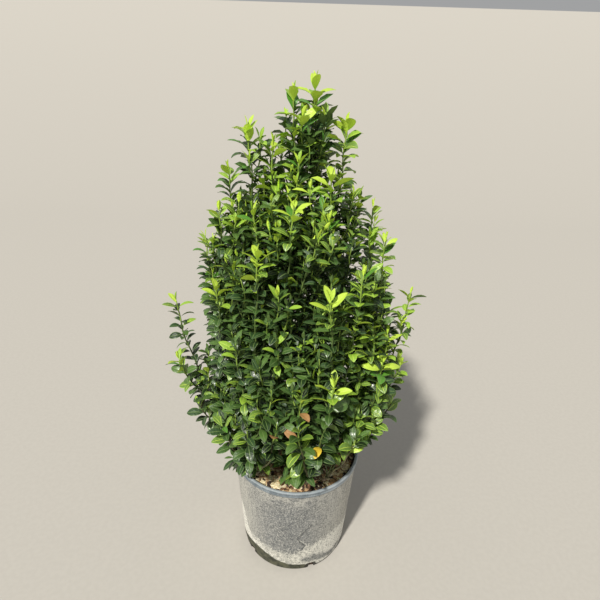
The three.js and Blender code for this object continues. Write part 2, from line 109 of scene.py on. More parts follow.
# Stem, with its radius by height, and boughs
CLEAR = 0.3
STEM_FOOT = 26
STEM_PROFILE = [(0, STEM_FOOT), (12, 19), (26, 17), (66, 14), (94, 12), (100, 7)]
STEM_SIDES = 40
STEM_RINGS = 46
BOUGH_SIDES = 10
BOUGH_STEPS = 5
BOUGH_FINE = 30
BOUGH_TIP = 2.6
BOUGH_LEAVE = 0.42
BOUGH_ARRIVE = 0.34
BARK_RELIEF = 0.9
BOUGH_RELIEF = 0.16

# Shoots
COLLAR = 9
SHOOT_FOOT = 2.6
SHOOT_TIP = 1.5
SHOOT_SIDES = 6
SHOOT_GIRTH = 0.84
WOODY_UNDER = 440
WOODY_FROM = [(500, 330), (900, 250)]
TIP_GREEN = 42
SHOOT_STEP = 9
SIDE_RUN = 11
TIP_LEAVES = 21
SEED = 41
SIDE_SEED = 5
SIDE_FIRST = 14
SIDE_STEP = 14
SIDE_LAST = 44
SIDE_LAST_HIGH = 66
SIDE_REACH = (46, 240)
SIDE_ASIDE = (18, 54)
SIDE_LIFT = 0.35
SIDE_TURN = 2.4
SIDE_ANGLE = 0.95
SIDE_TRIES = 4
SIDE_FOOT = 1.9
SIDE_TIP = 1.1
SIDE_GAPS = [(300, 16), (600, 14.5), (800, 12.5), (900, 12.5), (980, 14)]
FINE_GAP = 0.88
CROWD_CELL = 21
MAIN_ROOM = 20.5
PROBE_FROM = 27
STEEPNESS = 1.5
LEAF_REACH = 17
SWAY_WIDTH = 1.6
SIDE_SWAY = 3.2
SWAY_LENGTH = 95
SPRIG_VIGOUR = 0.94
# How much lighter the leaves at the right of the front are tinted: painted light, as if sunlit.
PAINTED_FLANK_LIGHT = 1.5
LOOSE_SPACING = 10.5
BOUGH_HABIT = {"last": 4, "lift": 1.3, "reach": 190}

# Leaves
LEAF_SEED = 9
LEAF_LENGTHS = [(300, 38), (420, 34), (560, 30), (700, 29), (850, 32), (1000, 36)]
LEAF_WIDTH = 0.47
MARGIN_DROP = 0.2
PETIOLE_SINK = 0.4
TIP_TURN = 0.12
SIDE_FLUSH = [0.0, 0.05, 0.12, 0.25, 0.5]
FLUSH_UP = [(680, 0.1), (930, 1.5)]
SPACING_UP = [(420, 2.4), (640, 0), (880, 0), (980, -0.8)]

# Leaves by depth down the shoot: how far they open from it and how much they curl, in degrees, how large
# they are and how slim. The youngest pair has its own values. Leaves are slimmer again by height.
LEAF_OPEN = [(10, 44), (60, 53)]
LEAF_CURL = [(10, 36), (60, 66)]
LEAF_SIZE = [(20, 1.08), (90, 0.98)]
LEAF_SLIM = [(4, 0.68), (34, 1.0)]
SLIM_UP = [(320, 1.02), (700, 0.97)]
YOUNG_OPEN = 13
YOUNG_CURL = 10
YOUNG_SIZE = 0.66
BROAD_ERECT = 1.18

# Which leaves are kept: how far they may hang under the limit on main and on side shoots, the part of a
# sprig that may hang freely, the share that stays by depth in the crown and down the shoot, and how clear
# leaves are of the rim and the mix. Leaves deeper in the crown than INNER_FROM get the plainer grid.
MAIN_DROOP = 40
SIDE_DROOP = 14
SPRIG_LEAVES = 38
LEAVES_LEFT = 0.96
KEPT_INSIDE = [(70, 1.0), (130, 0.25)]
KEPT_DOWN = [(240, 1.0), (420, 0.6)]
INNER_FROM = 50
RIM_ROOM = 11
RIM_CLEAR = 1.5
MIX_CLEAR = 5

# A leaf's grid: how far along each row of corners is, its half width there, the columns across, and what
# each strip between them is.
BLADE, RIB, MARGIN, UNDERSIDE = range(4)
OUTER_LEAF = {
    "stations": np.array([0.0, 0.1, 0.26, 0.46, 0.66, 0.83, 0.95, 1.0]),
    "halves": np.array([0.0, 0.12, 0.64, 0.97, 0.97, 0.66, 0.27, 0.0]),
    "columns": np.array([-1.0, -0.88, -0.06, 0.06, 0.88, 1.0]),
    "strips": [MARGIN, BLADE, RIB, BLADE, MARGIN],
}
INNER_LEAF = {
    "stations": np.array([0.0, 0.16, 0.45, 0.75, 1.0]),
    "halves": np.array([0.0, 0.3, 0.97, 0.82, 0.0]),
    "columns": np.array([-1.0, -0.07, 0.07, 1.0]),
    "strips": [BLADE, RIB, BLADE],
}

# Tints of leaves, with roughness and coat, and the tints of the other strips of old and of young leaves.
TINTS = {
    "deep": ((24, 42, 18), 0.44, 0.22),
    "dark": ((34, 58, 24), 0.44, 0.22),
    "cool": ((48, 76, 38), 0.44, 0.22),
    "mid": ((62, 92, 39), 0.45, 0.22),
    "green": ((80, 112, 48), 0.45, 0.22),
    "bright": ((84, 140, 42), 0.45, 0.22),
    "fresh": ((106, 138, 56), 0.45, 0.22),
    "light": ((142, 180, 60), 0.46, 0.08),
    "lime": ((184, 212, 72), 0.48, 0.06),
    "yellow": ((224, 192, 60), 0.5, 0.0),
    "brown": ((168, 126, 80), 0.6, 0.0),
}
TRIMS = {
    # The old leaves' margins are paler than their blades: a painted highlight for glints along the edges.
    "old": {"rib": (118, 142, 82), "margin": (94, 120, 62), "under": (92, 116, 58)},
    # The young leaves' undersides are painted light: far paler than their blades, a glow of light through the
    # thin leaf.
    "new": {"rib": (196, 216, 92), "margin": (164, 197, 66), "under": (208, 238, 82)},
}
TINT_NAMES = list(TINTS)
YOUNG_FROM = TINT_NAMES.index("fresh")
TURNED_FROM = TINT_NAMES.index("yellow")

# An old leaf's place in its row of tints, and how far that strays, by the height of its shoot's tip.
OLD_TINTS = ("deep", "dark", "cool", "mid", "green", "fresh", "light")
LEVELS = [(0, 2.3), (0.25, 2.8), (0.75, 2.7), (1, 3.6)]
LEVEL_SPREADS = [(0.5, 1.75), (1, 1.1)]

# Bark, wood, fibre and soil: dark and pale colour, scale, roughness, stretch and depth of the relief.
GRAINS = {
    "mix_soil": ((38, 28, 20), (92, 70, 50), 170, 0.95, (1, 1, 1), 0.002),
    "chip_cream": ((222, 204, 160), (248, 238, 206), 300, 0.85, (0.4, 1, 1), 0.0008),
    "chip_tan": ((168, 134, 96), (206, 174, 132), 300, 0.85, (0.4, 1, 1), 0.0008),
    "chip_brown": ((104, 74, 52), (144, 108, 78), 300, 0.85, (0.4, 1, 1), 0.0008),
    "chip_dark": ((42, 30, 22), (72, 54, 40), 300, 0.85, (0.4, 1, 1), 0.0008),
    "stalk_straw": ((176, 150, 108), (214, 192, 148), 300, 0.7, (1, 1, 1), 0.0008),
    "stalk_brown": ((120, 90, 62), (160, 126, 92), 300, 0.7, (1, 1, 1), 0.0008),
    "bark": ((74, 62, 46), (132, 118, 92), 260, 0.85, (1, 1, 0.35), 0.0008),
    "shoot_woody": ((58, 58, 36), (96, 94, 58), 300, 0.85, (1, 1, 0.3), 0.0008),
    "shoot_green": ((68, 88, 40), (102, 122, 60), 220, 0.6, (1, 1, 0.3), 0.0003),
    "shoot_pale": ((118, 148, 56), (150, 174, 78), 220, 0.55, (1, 1, 0.3), 0.0003),
}

# Studio, in metres and degrees: the floor's sweep, the key light, the soft fill and the camera.
SWEEP_RISE = 0.04
KEY_STRENGTH = 4.0
KEY_ANGLE = 4
KEY_COLOUR = (1.0, 0.965, 0.9)
KEY_TOWARDS = (-0.454, -0.891, math.tan(math.radians(48)))
FILL_STRENGTH = 0.45
CAMERA_LENS = 27.18
CAMERA_PLACE = (-0.002, -0.826, 1.023)
CAMERA_TURNS = (65.2, 1.8)

# The rings of boughs: how high each leaves the stem, how steeply in degrees, and a bough's radius there.
RINGS = {
    "low": {"height": 24, "rise": 34, "radius": 4.4},
    "outer": {"height": 46, "rise": 52, "radius": 3.7},
    "heart": {"height": 66, "rise": 62, "radius": 3.4},
    "inner": {"height": 78, "rise": 69, "radius": 3.6},
    "leader": {"height": 92, "rise": 90, "radius": 4.6},
}

# Each mass of foliage: its ring, the height of its fork, how far out that is as a share of its tips'
# reach, and the top of the leaves at each main shoot's tip.
SEEN_MASSES = {
    "top": ("leader", 600, 0.5, [(12, -2, 1051), (-24, 6, 1034)]),
    "left_crown": ("inner", 530, 0.8, [(-101, 4, 981), (-55, -32, 957)]),
    "right_crown": ("inner", 520, 0.75, [(70, 6, 989), (44, -58, 911)]),
    "left_high": ("inner", 470, 0.82, [(-139, 22, 906), (-150, -35, 845)]),
    "right_high": ("inner", 460, 0.84, [(128, 14, 849), (149, -38, 803)]),
    "front_high": ("inner", 460, 0.85, [(-17, -118, 877), (-84, -84, 857)]),
    "left_shoulder": ("outer", 390, 0.82, [(-187, 12, 781), (-150, -98, 725)]),
    "front_left": ("outer", 385, 0.86, [(-72, -146, 804), (-112, -142, 640)]),
    "front_right": ("outer", 380, 0.86, [(46, -186, 746), (100, -136, 770)]),
    "right_low": ("outer", 360, 0.78, [(165, -76, 630), (152, -124, 598)]),
    "left_out": ("outer", 372, 0.68, [(-252, 2, 651), (-244, -44, 541)]),
    "right_out": ("outer", 372, 0.7, [(219, 6, 679), (205, -52, 553)]),
    "heart_left": ("heart", 398, 0.7, [(-74, -58, 650), (-66, 40, 620)]),
    "heart_front": ("heart", 376, 0.62, [(-10, -120, 560), (20, -76, 610)]),
    "heart_right": ("heart", 390, 0.84, [(78, -66, 630), (92, 20, 640)]),
    "front_low": ("low", 326, 0.78, [(59, -202, 598), (2, -212, 520)]),
    "skirt_front_left": ("low", 306, 0.72, [(-88, -196, 500), (-142, -152, 470)]),
    "skirt_front_right": ("low", 306, 0.72, [(108, -178, 470), (66, -198, 400)]),
    "skirt_left": ("low", 306, 0.7, [(-206, -58, 440), (-214, 34, 430)]),
    "skirt_right": ("low", 306, 0.7, [(200, -34, 440), (196, 54, 430)]),
}

# The far side repeats masses of the near side: model, reach, and how much lower its tips are.
BEHIND = {
    "back_high": ("front_high", 0.96, 14),
    "back_left": ("front_left", 1.0, 22),
    "back_right": ("front_right", 0.95, 16),
    "back_right_low": ("right_low", 1.04, -24),
    "back_left_low": ("left_shoulder", 0.98, 60),
    "back_low": ("front_low", 0.98, 10),
    "skirt_back_left": ("skirt_front_left", 1.02, -14),
    "skirt_back_right": ("skirt_front_right", 0.98, -10),
}

# Side shoots that show from the front, by the top of their leaves.
SEEN_SIDES = {
    "top": [
        (-42, 0, 965), (-12, -45, 934), (-8, -22, 1003), (10, 22, 1012), (-36, 14, 1000), (30, -10, 1004),
        (4, -30, 976), (-22, -18, 978),
    ],
    "left_crown": [(-79, -15, 967)],
    "right_crown": [(9, -70, 897), (86, -30, 881)],
    "left_high": [(-114, -40, 862)],
    "right_high": [(131, -5, 826)],
    "front_high": [(41, -105, 851)],
    "left_shoulder": [(-164, -30, 790), (-108, -90, 715)],
    "front_left": [(-44, -135, 722), (-113, -120, 580)],
    "front_right": [(50, -120, 750), (75, -150, 646)],
    "right_low": [(118, -95, 674), (175, -10, 662), (118, -150, 510)],
    "right_out": [(203, -10, 630)],
    "front_low": [(33, -180, 638), (5, -205, 581)],
    "skirt_left": [(-188, -20, 548), (-186, -45, 520), (-147, -90, 507)],
    "skirt_front_left": [(-118, -140, 484), (-46, -190, 579), (-123, -150, 457), (-36, -200, 516)],
}

# Low sprigs that turn outwards: where their tips are, and for a weak one the size of its leaves.
SPRIGS = {
    "skirt_front_left": [(-107, -122, 329), (-74, -142, 361), (-132, -95, 312)],
    "front_low": [(17, -142, 372), (-14, -118, 325), (-12, -104, 274), (10, -170, 352)],
    "skirt_front_right": [(61, -142, 384), (48, -88, 276, 0.6), (96, -134, 402), (122, -108, 398)],
    "skirt_left": [(-172, -40, 352), (-158, 40, 340)],
    "skirt_right": [(146, -52, 344), (160, -20, 352), (156, 44, 346)],
    "skirt_back_left": [(-112, 146, 350), (-60, 168, 356)],
    "skirt_back_right": [(110, 148, 352), (52, 170, 360)],
    "back_low": [(0, 158, 362)],
}

# Reach of the leafy body at each height: to the left, to the right, and to the front and back.
BODY_REACH = [
    (250, 160, 148, 140), (330, 200, 176, 170), (385, 210, 205, 196), (430, 207, 214, 208),
    (490, 199, 218, 216), (550, 184, 214, 216), (610, 190, 198, 208), (670, 196, 184, 196),
    (740, 196, 184, 180), (780, 184, 178, 168), (840, 160, 146, 142), (880, 156, 114, 122),
    (935, 142, 106, 98), (975, 124, 100, 82), (1020, 62, 56, 56), (1060, 36, 40, 36),
]

# Clefts in the crown where light comes through: x at y = 0, how far x goes with y, half width, foot, top.
CLEFTS = [(112, 0.13, 11, 430, 800), (42, 0.05, 10, 915, 1010), (-58, -0.06, 9, 950, 1040)]

# Height under which no leaf hangs, by the distance from the stem, and how much lower leaves hang at the left.
LOW_LIMIT = [(120, 276), (180, 292)]
LEFT_AZIMUTH = math.radians(200)
LEFT_DROOP = 30

# The same at FRONT_FROM in front of the stem, by x, and its rise forwards: the mix shows below it.
FRONT_LIMIT = [
    (-110, 190), (-96, 282), (-69, 300), (-41, 301), (-8, 288), (14, 283), (42, 298), (67, 320),
    (94, 344), (114, 358), (129, 364), (165, 352), (200, 320),
]
FRONT_FROM = 90
FRONT_RISE = 1.02

# Thin masses that stand apart from the body.
LOOSE_MASSES = ("left_out", "right_out")

# The brightest tips: about where each is, how lime its young leaves are, and how large.
BRIGHT_TIPS = [
    ((46, -186, 720), 1.0, 1.28), ((59, -202, 572), 1.0, 1.2), ((-72, -146, 780), 1.0, 1.15),
    ((-112, -142, 615), 0.1, 1.0), ((-17, -118, 853), 0.95, 1.1), ((-101, 4, 957), 1.0, 1.12),
    ((118, -95, 650), 0.1, 1.0), ((165, -76, 606), 1.0, 1.05), ((152, -124, 574), 1.0, 1.2),
    ((203, -10, 606), 0.9, 0.95), ((12, -2, 1027), 1.0, 0.96), ((70, 6, 965), 0.9, 0.92),
    ((-150, -98, 701), 0.95, 1.05), ((-187, 12, 757), 0.9, 1.0), ((-84, -84, 833), 0.75, 1.0),
    ((-55, -32, 933), 0.85, 1.0), ((44, -58, 887), 0.95, 1.1), ((149, -38, 779), 0.9, 1.0),
    ((205, -52, 530), 0.7, 1.0), ((-10, -180, 650), 0.35, 1.0),
]

# Leaves that have turned: about where each is, and its tint.
TURNED_LEAVES = [
    ((-39, -208, 478), "brown"), ((-11, -207, 479), "brown"), ((12, -220, 531), "brown"),
    ((37, -206, 443), "yellow"), ((116, -166, 419), "lime"), ((60, 150, 420), "brown"),
]

# The pieces that the crown's leaves are joined into, with the masses of each.
LEAF_PIECES = {
    "leaves_top": ("top", "left_crown", "right_crown"),
    "leaves_high": ("left_high", "right_high", "front_high"),
    "leaves_front": ("front_left", "front_right", "front_low", "heart_front"),
    "leaves_left": ("left_shoulder", "left_out", "heart_left", "skirt_left", "skirt_front_left"),
    "leaves_right": ("right_low", "right_out", "heart_right", "skirt_right", "skirt_front_right"),
    "leaves_back": ("back_high", "back_left", "back_right", "back_low"),
    "leaves_back_low": ("back_right_low", "back_left_low", "skirt_back_left", "skirt_back_right"),
}


# Small mathematics


def mix(a, b, t):
    return a + (b - a) * t


def share(value, low, high):
    return np.clip((value - low) / (high - low), 0, 1)


def smooth(value, low, high):
    t = share(value, low, high)
    return t * t * (3 - 2 * t)


def read_off(table, value):
    """A value between the rows of a table of pairs."""
    return np.interp(value, *zip(*table))


def unit(v):
    return v / max(np.linalg.norm(v), 1e-9)


def wrapped(turn):
    return np.arctan2(np.sin(turn), np.cos(turn))


def circle(sides):
    return np.linspace(0, 2 * np.pi, sides, endpoint=False)


def polar(radius, turn, z):
    """Places from a radius, an azimuth in radians and a height."""
    return np.stack(np.broadcast_arrays(radius * np.cos(turn), radius * np.sin(turn), z), -1)


def seeded(seed):
    """Numbers from 0 to 1, the same ones as the part's source draws."""
    mask = 0xFFFFFFFF
    while True:
        seed = (seed + 0x6D2B79F5) & mask
        t = ((seed ^ (seed >> 15)) * (1 | seed)) & mask
        t = ((t + (((t ^ (t >> 7)) * (61 | t)) & mask)) & mask) ^ t
        yield ((t ^ (t >> 14)) & mask) / 4294967296


def bezier(corners, count=80):
    """Points of a cubic Bezier curve through four corners."""
    t = np.linspace(0, 1, count + 1)[:, None]
    a, b, c, d = (np.asarray(p, float) for p in corners)
    return a * (1 - t) ** 3 + 3 * b * t * (1 - t) ** 2 + 3 * c * t**2 * (1 - t) + d * t**3


def limb_line(foot, leave, arrive, end):
    """A curve from foot to end that sets out by leave and comes in by arrive."""
    return bezier((foot, foot + leave, end - arrive, end))


def between(rows, at):
    """The row at a place that may lie between two of them."""
    index = min(int(at), len(rows) - 2)
    return mix(rows[index], rows[index + 1], at - index)


def respaced(points, count):
    """The same line in count equal steps."""
    steps = np.linalg.norm(np.diff(points, axis=0), axis=1)
    run = np.concatenate([[0], np.cumsum(steps)])
    at = np.linspace(0, run[-1], count + 1)
    return np.stack([np.interp(at, run, points[:, k]) for k in range(points.shape[1])], 1)


def length_of(points):
    return float(np.linalg.norm(np.diff(points, axis=0), axis=1).sum())


def tangents(points):
    ends = np.vstack([2 * points[0] - points[1], points, 2 * points[-1] - points[-2]])
    along = ends[2:] - ends[:-2]
    return along / np.linalg.norm(along, axis=1)[:, None]


# Meshes


def mesh_object(name, vertices, faces, materials, slots=None, sharp=None):
    """A named object from arrays: corners in metres, and faces as a list of (n, corners) arrays."""
    mesh = bpy.data.meshes.new(name)
    corners = np.concatenate([f.ravel() for f in faces]).astype(np.int32)
    sizes = np.concatenate([np.full(len(f), f.shape[1], np.int32) for f in faces])
    starts = np.concatenate([[0], np.cumsum(sizes)[:-1]]).astype(np.int32)
    mesh.vertices.add(len(vertices))
    mesh.vertices.foreach_set("co", np.asarray(vertices, np.float32).ravel())
    mesh.loops.add(len(corners))
    mesh.loops.foreach_set("vertex_index", corners)
    mesh.polygons.add(len(sizes))
    mesh.polygons.foreach_set("loop_start", starts)
    if slots is not None:
        mesh.polygons.foreach_set("material_index", np.concatenate(slots).astype(np.int32))
    mesh.update(calc_edges=True)
    mesh.validate()
    for material in materials:
        mesh.materials.append(material)
    mesh.shade_smooth()
    if sharp is not None:
        mesh.set_sharp_from_angle(angle=math.radians(sharp))
    made = bpy.data.objects.new(name, mesh)
    bpy.context.scene.collection.objects.link(made)
    return made


def ring_faces(rings, sides):
    """Quads between rings of the same number of corners, facing out when rings rise."""
    i, k = np.meshgrid(np.arange(rings - 1), np.arange(sides), indexing="ij")
    a, b = i * sides + k, i * sides + (k + 1) % sides
    return np.stack([a, b, b + sides, a + sides], -1).reshape(-1, 4)


def end_faces(rings, sides, foot, tip):
    """Triangles that close the first ring round the corner foot, and the last one round the corner tip."""
    k = np.arange(sides)
    following, last = (k + 1) % sides, (rings - 1) * sides
    low = np.stack([np.full(sides, foot), following, k], 1)
    high = np.stack([np.full(sides, tip), last + k, last + following], 1)
    return low, high


def closed_faces(rings, sides):
    """The faces of rings with a corner beyond each end, which come after the rings' corners."""
    count = rings * sides
    return ring_faces(rings, sides), np.vstack(end_faces(rings, sides, count, count + 1))


def tube(points, radii, sides):
    """Corners of a round limb along points, and its faces: quads for the side, triangles for the ends."""
    along = tangents(points)
    across = np.array([1.0, 0, 0]) if abs(along[0][0]) < 0.9 else np.array([0, 1.0, 0])
    turn = circle(sides)
    rings = []
    for point, axis, radius in zip(points, along, radii):
        across = unit(across - axis * (across @ axis))
        third = np.cross(axis, across)
        radius = np.broadcast_to(radius, (sides,))
        spokes = np.outer(np.cos(turn), across) + np.outer(np.sin(turn), third)
        rings.append(point + spokes * radius[:, None])
    vertices = np.vstack([*rings, points[:1], points[-1:] + along[-1:] * np.mean(radii[-1]) * 0.5])
    return vertices, *closed_faces(len(points), sides)


class Batch:
    """Gathers many small meshes into one."""

    def __init__(self):
        self.vertices, self.quads, self.tris = [], [], []
        self.quad_slots, self.tri_slots = [], []
        self.count = 0

    def add(self, vertices, quads, tris=(), quad_slots=0, tri_slots=0):
        self.vertices.append(vertices)
        for kept, slots, made, slot in (
            (self.quads, self.quad_slots, quads, quad_slots),
            (self.tris, self.tri_slots, tris, tri_slots),
        ):
            if len(made):
                kept.append(made + self.count)
                slots.append(np.broadcast_to(slot, (len(made),)))
        self.count += len(vertices)

    def object(self, name, materials, sharp=None):
        faces = [np.vstack(kept) for kept in (self.quads, self.tris) if kept]
        slots = [np.concatenate(kept) for kept in (self.quad_slots, self.tri_slots) if kept]
        return mesh_object(name, np.vstack(self.vertices) * MM, faces, materials, slots, sharp)


# Materials


def linear(*colour):
    """A colour given as it looks on a screen, red, green and blue from 0 to 255."""
    parts = [value / 255 for value in colour]
    return (*[v / 12.92 if v <= 0.04045 else ((v + 0.055) / 1.055) ** 2.4 for v in parts], 1.0)


class Nodes:
    """A material's node tree, written a node at a time."""

    def __init__(self, name):
        self.material = bpy.data.materials.new(name)
        self.material.use_nodes = True
        self.tree = self.material.node_tree
        self.shader = next(n for n in self.tree.nodes if n.type == "BSDF_PRINCIPLED")
        self.places = self.add("ShaderNodeTexCoord").outputs["Object"]

    def put(self, socket, value):
        if isinstance(value, bpy.types.NodeSocket):
            self.tree.links.new(value, socket)
        else:
            socket.default_value = value

    def add(self, kind, *given, **named):
        """A node, with its settings and inputs by name, and its first inputs in order."""
        node = self.tree.nodes.new(kind)
        for key, value in named.items():
            if hasattr(node, key):
                setattr(node, key, value)
            else:
                self.put(node.inputs[key.replace("_", " ")], value)
        for socket, value in zip(node.inputs, given):
            self.put(socket, value)
        return node

    def noise(self, scale, detail=3.0, roughness=0.5, vector=None, output="Fac"):
        node = self.add("ShaderNodeTexNoise", Scale=scale, Detail=detail, Roughness=roughness)
        self.put(node.inputs["Vector"], vector or self.places)
        return node.outputs[output]

    def stretched(self, scale):
        return self.add("ShaderNodeMapping", self.places, Scale=scale).outputs[0]

    def ramp(self, value, low, high, to_low=0.0, to_high=1.0, kind="SMOOTHSTEP"):
        given = (value, low, high, to_low, to_high)
        return self.add("ShaderNodeMapRange", *given, interpolation_type=kind).outputs[0]

    def math(self, operation, a, b=0.0):
        return self.add("ShaderNodeMath", a, b, 0.0, operation=operation).outputs[0]

    def plus(self, a, b):
        return self.math("ADD", a, b)

    def minus(self, a, b):
        return self.math("SUBTRACT", a, b)

    def times(self, a, b):
        return self.math("MULTIPLY", a, b)

    def vector(self, operation, a, b):
        node = self.add("ShaderNodeVectorMath", a, operation=operation)
        self.put(node.inputs["Scale" if operation == "SCALE" else 1], b)
        return node.outputs["Value" if operation in ("DOT_PRODUCT", "DISTANCE") else 0]

    def blend(self, factor, a, b):
        """Two sockets or colours, mixed."""
        node = self.add("ShaderNodeMix", factor, data_type="RGBA")
        for socket, value in zip(node.inputs[6:8], (a, b)):
            self.put(socket, linear(*value) if isinstance(value, tuple) else value)
        return node.outputs[2]

    def bump(self, height, strength, distance, normal=None):
        node = self.add("ShaderNodeBump", Strength=strength, Distance=distance, Height=height)
        if normal is not None:
            self.put(node.inputs["Normal"], normal)
        return node.outputs[0]

    def profile(self, turn, table, top, whole=MM):
        """A value by azimuth, from a table of degrees and of values under top, given in the unit whole."""
        node = self.add("ShaderNodeValToRGB", turn)
        curve = node.color_ramp
        curve.interpolation = "CARDINAL"
        for k, (degrees, value) in enumerate(table):
            place = degrees / 360 + 0.5
            mark = curve.elements[k] if k < 2 else curve.elements.new(place)
            mark.position = place
            grey = value * (whole / top)
            mark.color = (grey, grey, grey, 1)
        return self.times(node.outputs[0], float(top))

    def stroke(self, places, points, half, wobble):
        """1 on a line through the points, falling to 0 at half to either side."""
        rough = self.vector("SUBTRACT", self.noise(110, 2.0, output="Color"), (0.5, 0.5, 0.5))
        places = self.vector("ADD", places, self.vector("SCALE", rough, wobble))
        nearest = None
        for start, end in zip(points[:-1], points[1:]):
            run = Vector(end) - Vector(start)
            ahead = self.vector("SUBTRACT", places, start)
            t = self.ramp(self.vector("DOT_PRODUCT", ahead, run), 0, run.dot(run), kind="LINEAR")
            apart = self.vector("DISTANCE", ahead, self.vector("SCALE", tuple(run), t))
            nearest = apart if nearest is None else self.math("MINIMUM", nearest, apart)
        return self.ramp(nearest, half * 0.3, half, 1.0, 0.0)

    def set(self, **values):
        for key, value in values.items():
            self.put(self.shader.inputs[key.replace("_", " ")], value)
        return self.material


def leaf_material(name, colour, rough, coat):
    """A leathery leaf: one base colour, with fine relief and a gloss that varies."""
    n = Nodes(name)
    patches = n.noise(90, 2)
    relief = n.noise(700, 3, 0.6)
    veins = n.noise(260, 1, 0.4)
    normal = n.bump(veins, 0.5, 0.0018, n.bump(relief, 0.35, 0.0005))
    return n.set(
        Base_Color=linear(*colour),
        Roughness=n.ramp(patches, 0.35, 0.65, rough - 0.05, rough + 0.1),
        Specular_IOR_Level=0.6,
        Coat_Weight=coat,
        Coat_Roughness=0.2,
        Normal=normal,
    )


def grain_material(name):
    """Bark, wood, fibre or soil: two colours in a stretched noise, with relief."""
    dark, pale, scale, rough, stretch, depth = GRAINS[name]
    n = Nodes(name)
    places = n.stretched(stretch)
    grain = n.noise(scale, 4, 0.6, places)
    fine = n.noise(scale * 3.7, 2, 0.6, places)
    base = n.blend(n.ramp(grain, 0.35, 0.65), dark, pale)
    return n.set(
        Base_Color=base,
        Roughness=n.ramp(fine, 0.3, 0.7, rough - 0.12, min(rough + 0.08, 1.0)),
        Normal=n.bump(fine, 0.5, depth, n.bump(grain, 0.6, depth * 2)),
    )


def grains(*names):
    return [grain_material(name) for name in names]


def pot_material():
    """Weathered grey plastic: a grainy bloom, paler at the right front with painted light, limescale low
    down, a dark olive band at the foot, a scratch whose dark line is painted shade.
    """
    n = Nodes("pot_grey")
    x, y, z = n.add("ShaderNodeSeparateXYZ", n.places).outputs
    azimuth = n.math("ARCTAN2", y, x)
    turn = n.ramp(azimuth, -math.pi, math.pi, kind="LINEAR")
    spread = n.add("ShaderNodeCombineXYZ")
    for socket, value in zip(spread.inputs, (n.times(azimuth, POT_MIDDLE * MM), z, 0.0)):
        n.put(socket, value)

    def mark(table, half, wobble):
        places = [(math.radians(turned) * POT_MIDDLE * MM, height * MM, 0) for turned, height in table]
        return n.stroke(spread.outputs[0], places, half, wobble)

    fine = n.noise(300, 3, 0.85)
    grit = n.noise(130, 4, 0.8)
    cloud = n.noise(22, 4, 0.6)
    streak = n.noise(150, 3, 0.6, n.stretched((1, 1, 0.12)))

    base = n.blend(n.ramp(grit, 0.38, 0.62), (96, 99, 101), (134, 135, 132))
    base = n.blend(n.ramp(cloud, 0.35, 0.7, 0.0, 0.4), base, (110, 114, 117))
    # Bloom by azimuth: real bloom at the left, and painted light that makes the right front paler.
    bloom_and_light = n.times(n.profile(turn, POT_BLOOM_AND_LIGHT, 1, 1), n.ramp(streak, 0.3, 0.65, 0.55, 1.0))
    dusty = n.times(n.ramp(z, 0.19, 0.25, 0.0, 0.5), n.ramp(n.noise(60, 4), 0.38, 0.6))
    base = n.blend(n.math("MAXIMUM", bloom_and_light, dusty), base, (206, 203, 192))
    base = n.blend(n.ramp(fine, 0.52, 0.62, 0.0, 0.75), base, (190, 188, 180))
    base = n.blend(n.ramp(fine, 0.48, 0.38, 0.0, 0.75), base, (72, 74, 75))

    # Limescale with a ragged upper edge, paler where the bloom is; at the right front that paleness is
    # painted light.
    ragged = n.times(n.minus(n.noise(55, 6, 0.8), 0.5), 0.06)
    edge = n.plus(z, ragged)
    top = n.profile(turn, LIME_TOP, MARKS_UNDER)
    lime = n.ramp(n.minus(top, edge), -0.02, 0.02)
    lime = n.ramp(n.plus(lime, n.times(n.minus(fine, 0.5), 2.6)), 0.2, 0.8)
    pale = n.blend(n.ramp(grit, 0.36, 0.62), (160, 159, 151), (220, 218, 206))
    pale = n.blend(n.profile(turn, POT_BLOOM_AND_LIGHT, 1, 1), pale, (248, 246, 236))
    base = n.blend(n.times(lime, 0.92), base, pale)
    specks = n.ramp(n.noise(240, 3, 0.85), 0.52, 0.62, 0.0, 0.85)
    base = n.blend(n.times(lime, specks), base, (112, 112, 107))

    # The smear, the dark olive band at the foot, and darkening about and inside each drain hole.
    smear = mark(SMEAR, 0.016, 0.014)
    base = n.blend(n.times(smear, n.ramp(grit, 0.34, 0.6, 1.0, 0.6)), base, (78, 82, 84))
    # A dark olive band at the foot, highest at the left front.
    foot = n.minus(n.profile(turn, FOOT_TOP, MARKS_UNDER), n.plus(z, n.times(ragged, 0.15)))
    foot_olive = n.blend(n.ramp(n.noise(70, 4, 0.6), 0.35, 0.65), (50, 52, 42), (86, 86, 68))
    base = n.blend(n.ramp(foot, -0.0015, 0.0015), base, foot_olive)
    # Darker about each drain hole and on the cut faces inside it.
    step = 2 * math.pi / DRAIN_COUNT
    apart = n.math("PINGPONG", n.minus(azimuth, math.radians(DRAIN_AZIMUTH)), step / 2)
    apart = n.times(apart, BASE_RADIUS * MM)
    apart = n.math("SQRT", n.plus(n.times(apart, apart), n.times(z, z)))
    apart = n.plus(apart, n.times(ragged, 0.12))
    base = n.blend(n.ramp(apart, 0.0155, 0.019, 0.95, 0.0), base, (38, 36, 30))

    base = n.blend(n.times(mark(CRACK_EDGE, 0.0016, 0.008), 0.7), base, (222, 220, 210))
    # The crack's dark line is painted shade in its groove.
    base = n.blend(n.times(mark(CRACK, 0.0034, 0.009), 0.6), base, (58, 60, 62))
    normal = n.bump(n.noise(420, 3, 0.6), 0.3, 0.0008, n.bump(n.noise(30, 2), 0.25, 0.002))
    return n.set(Base_Color=base, Roughness=n.ramp(grit, 0.3, 0.7, 0.6, 0.85), Normal=normal)


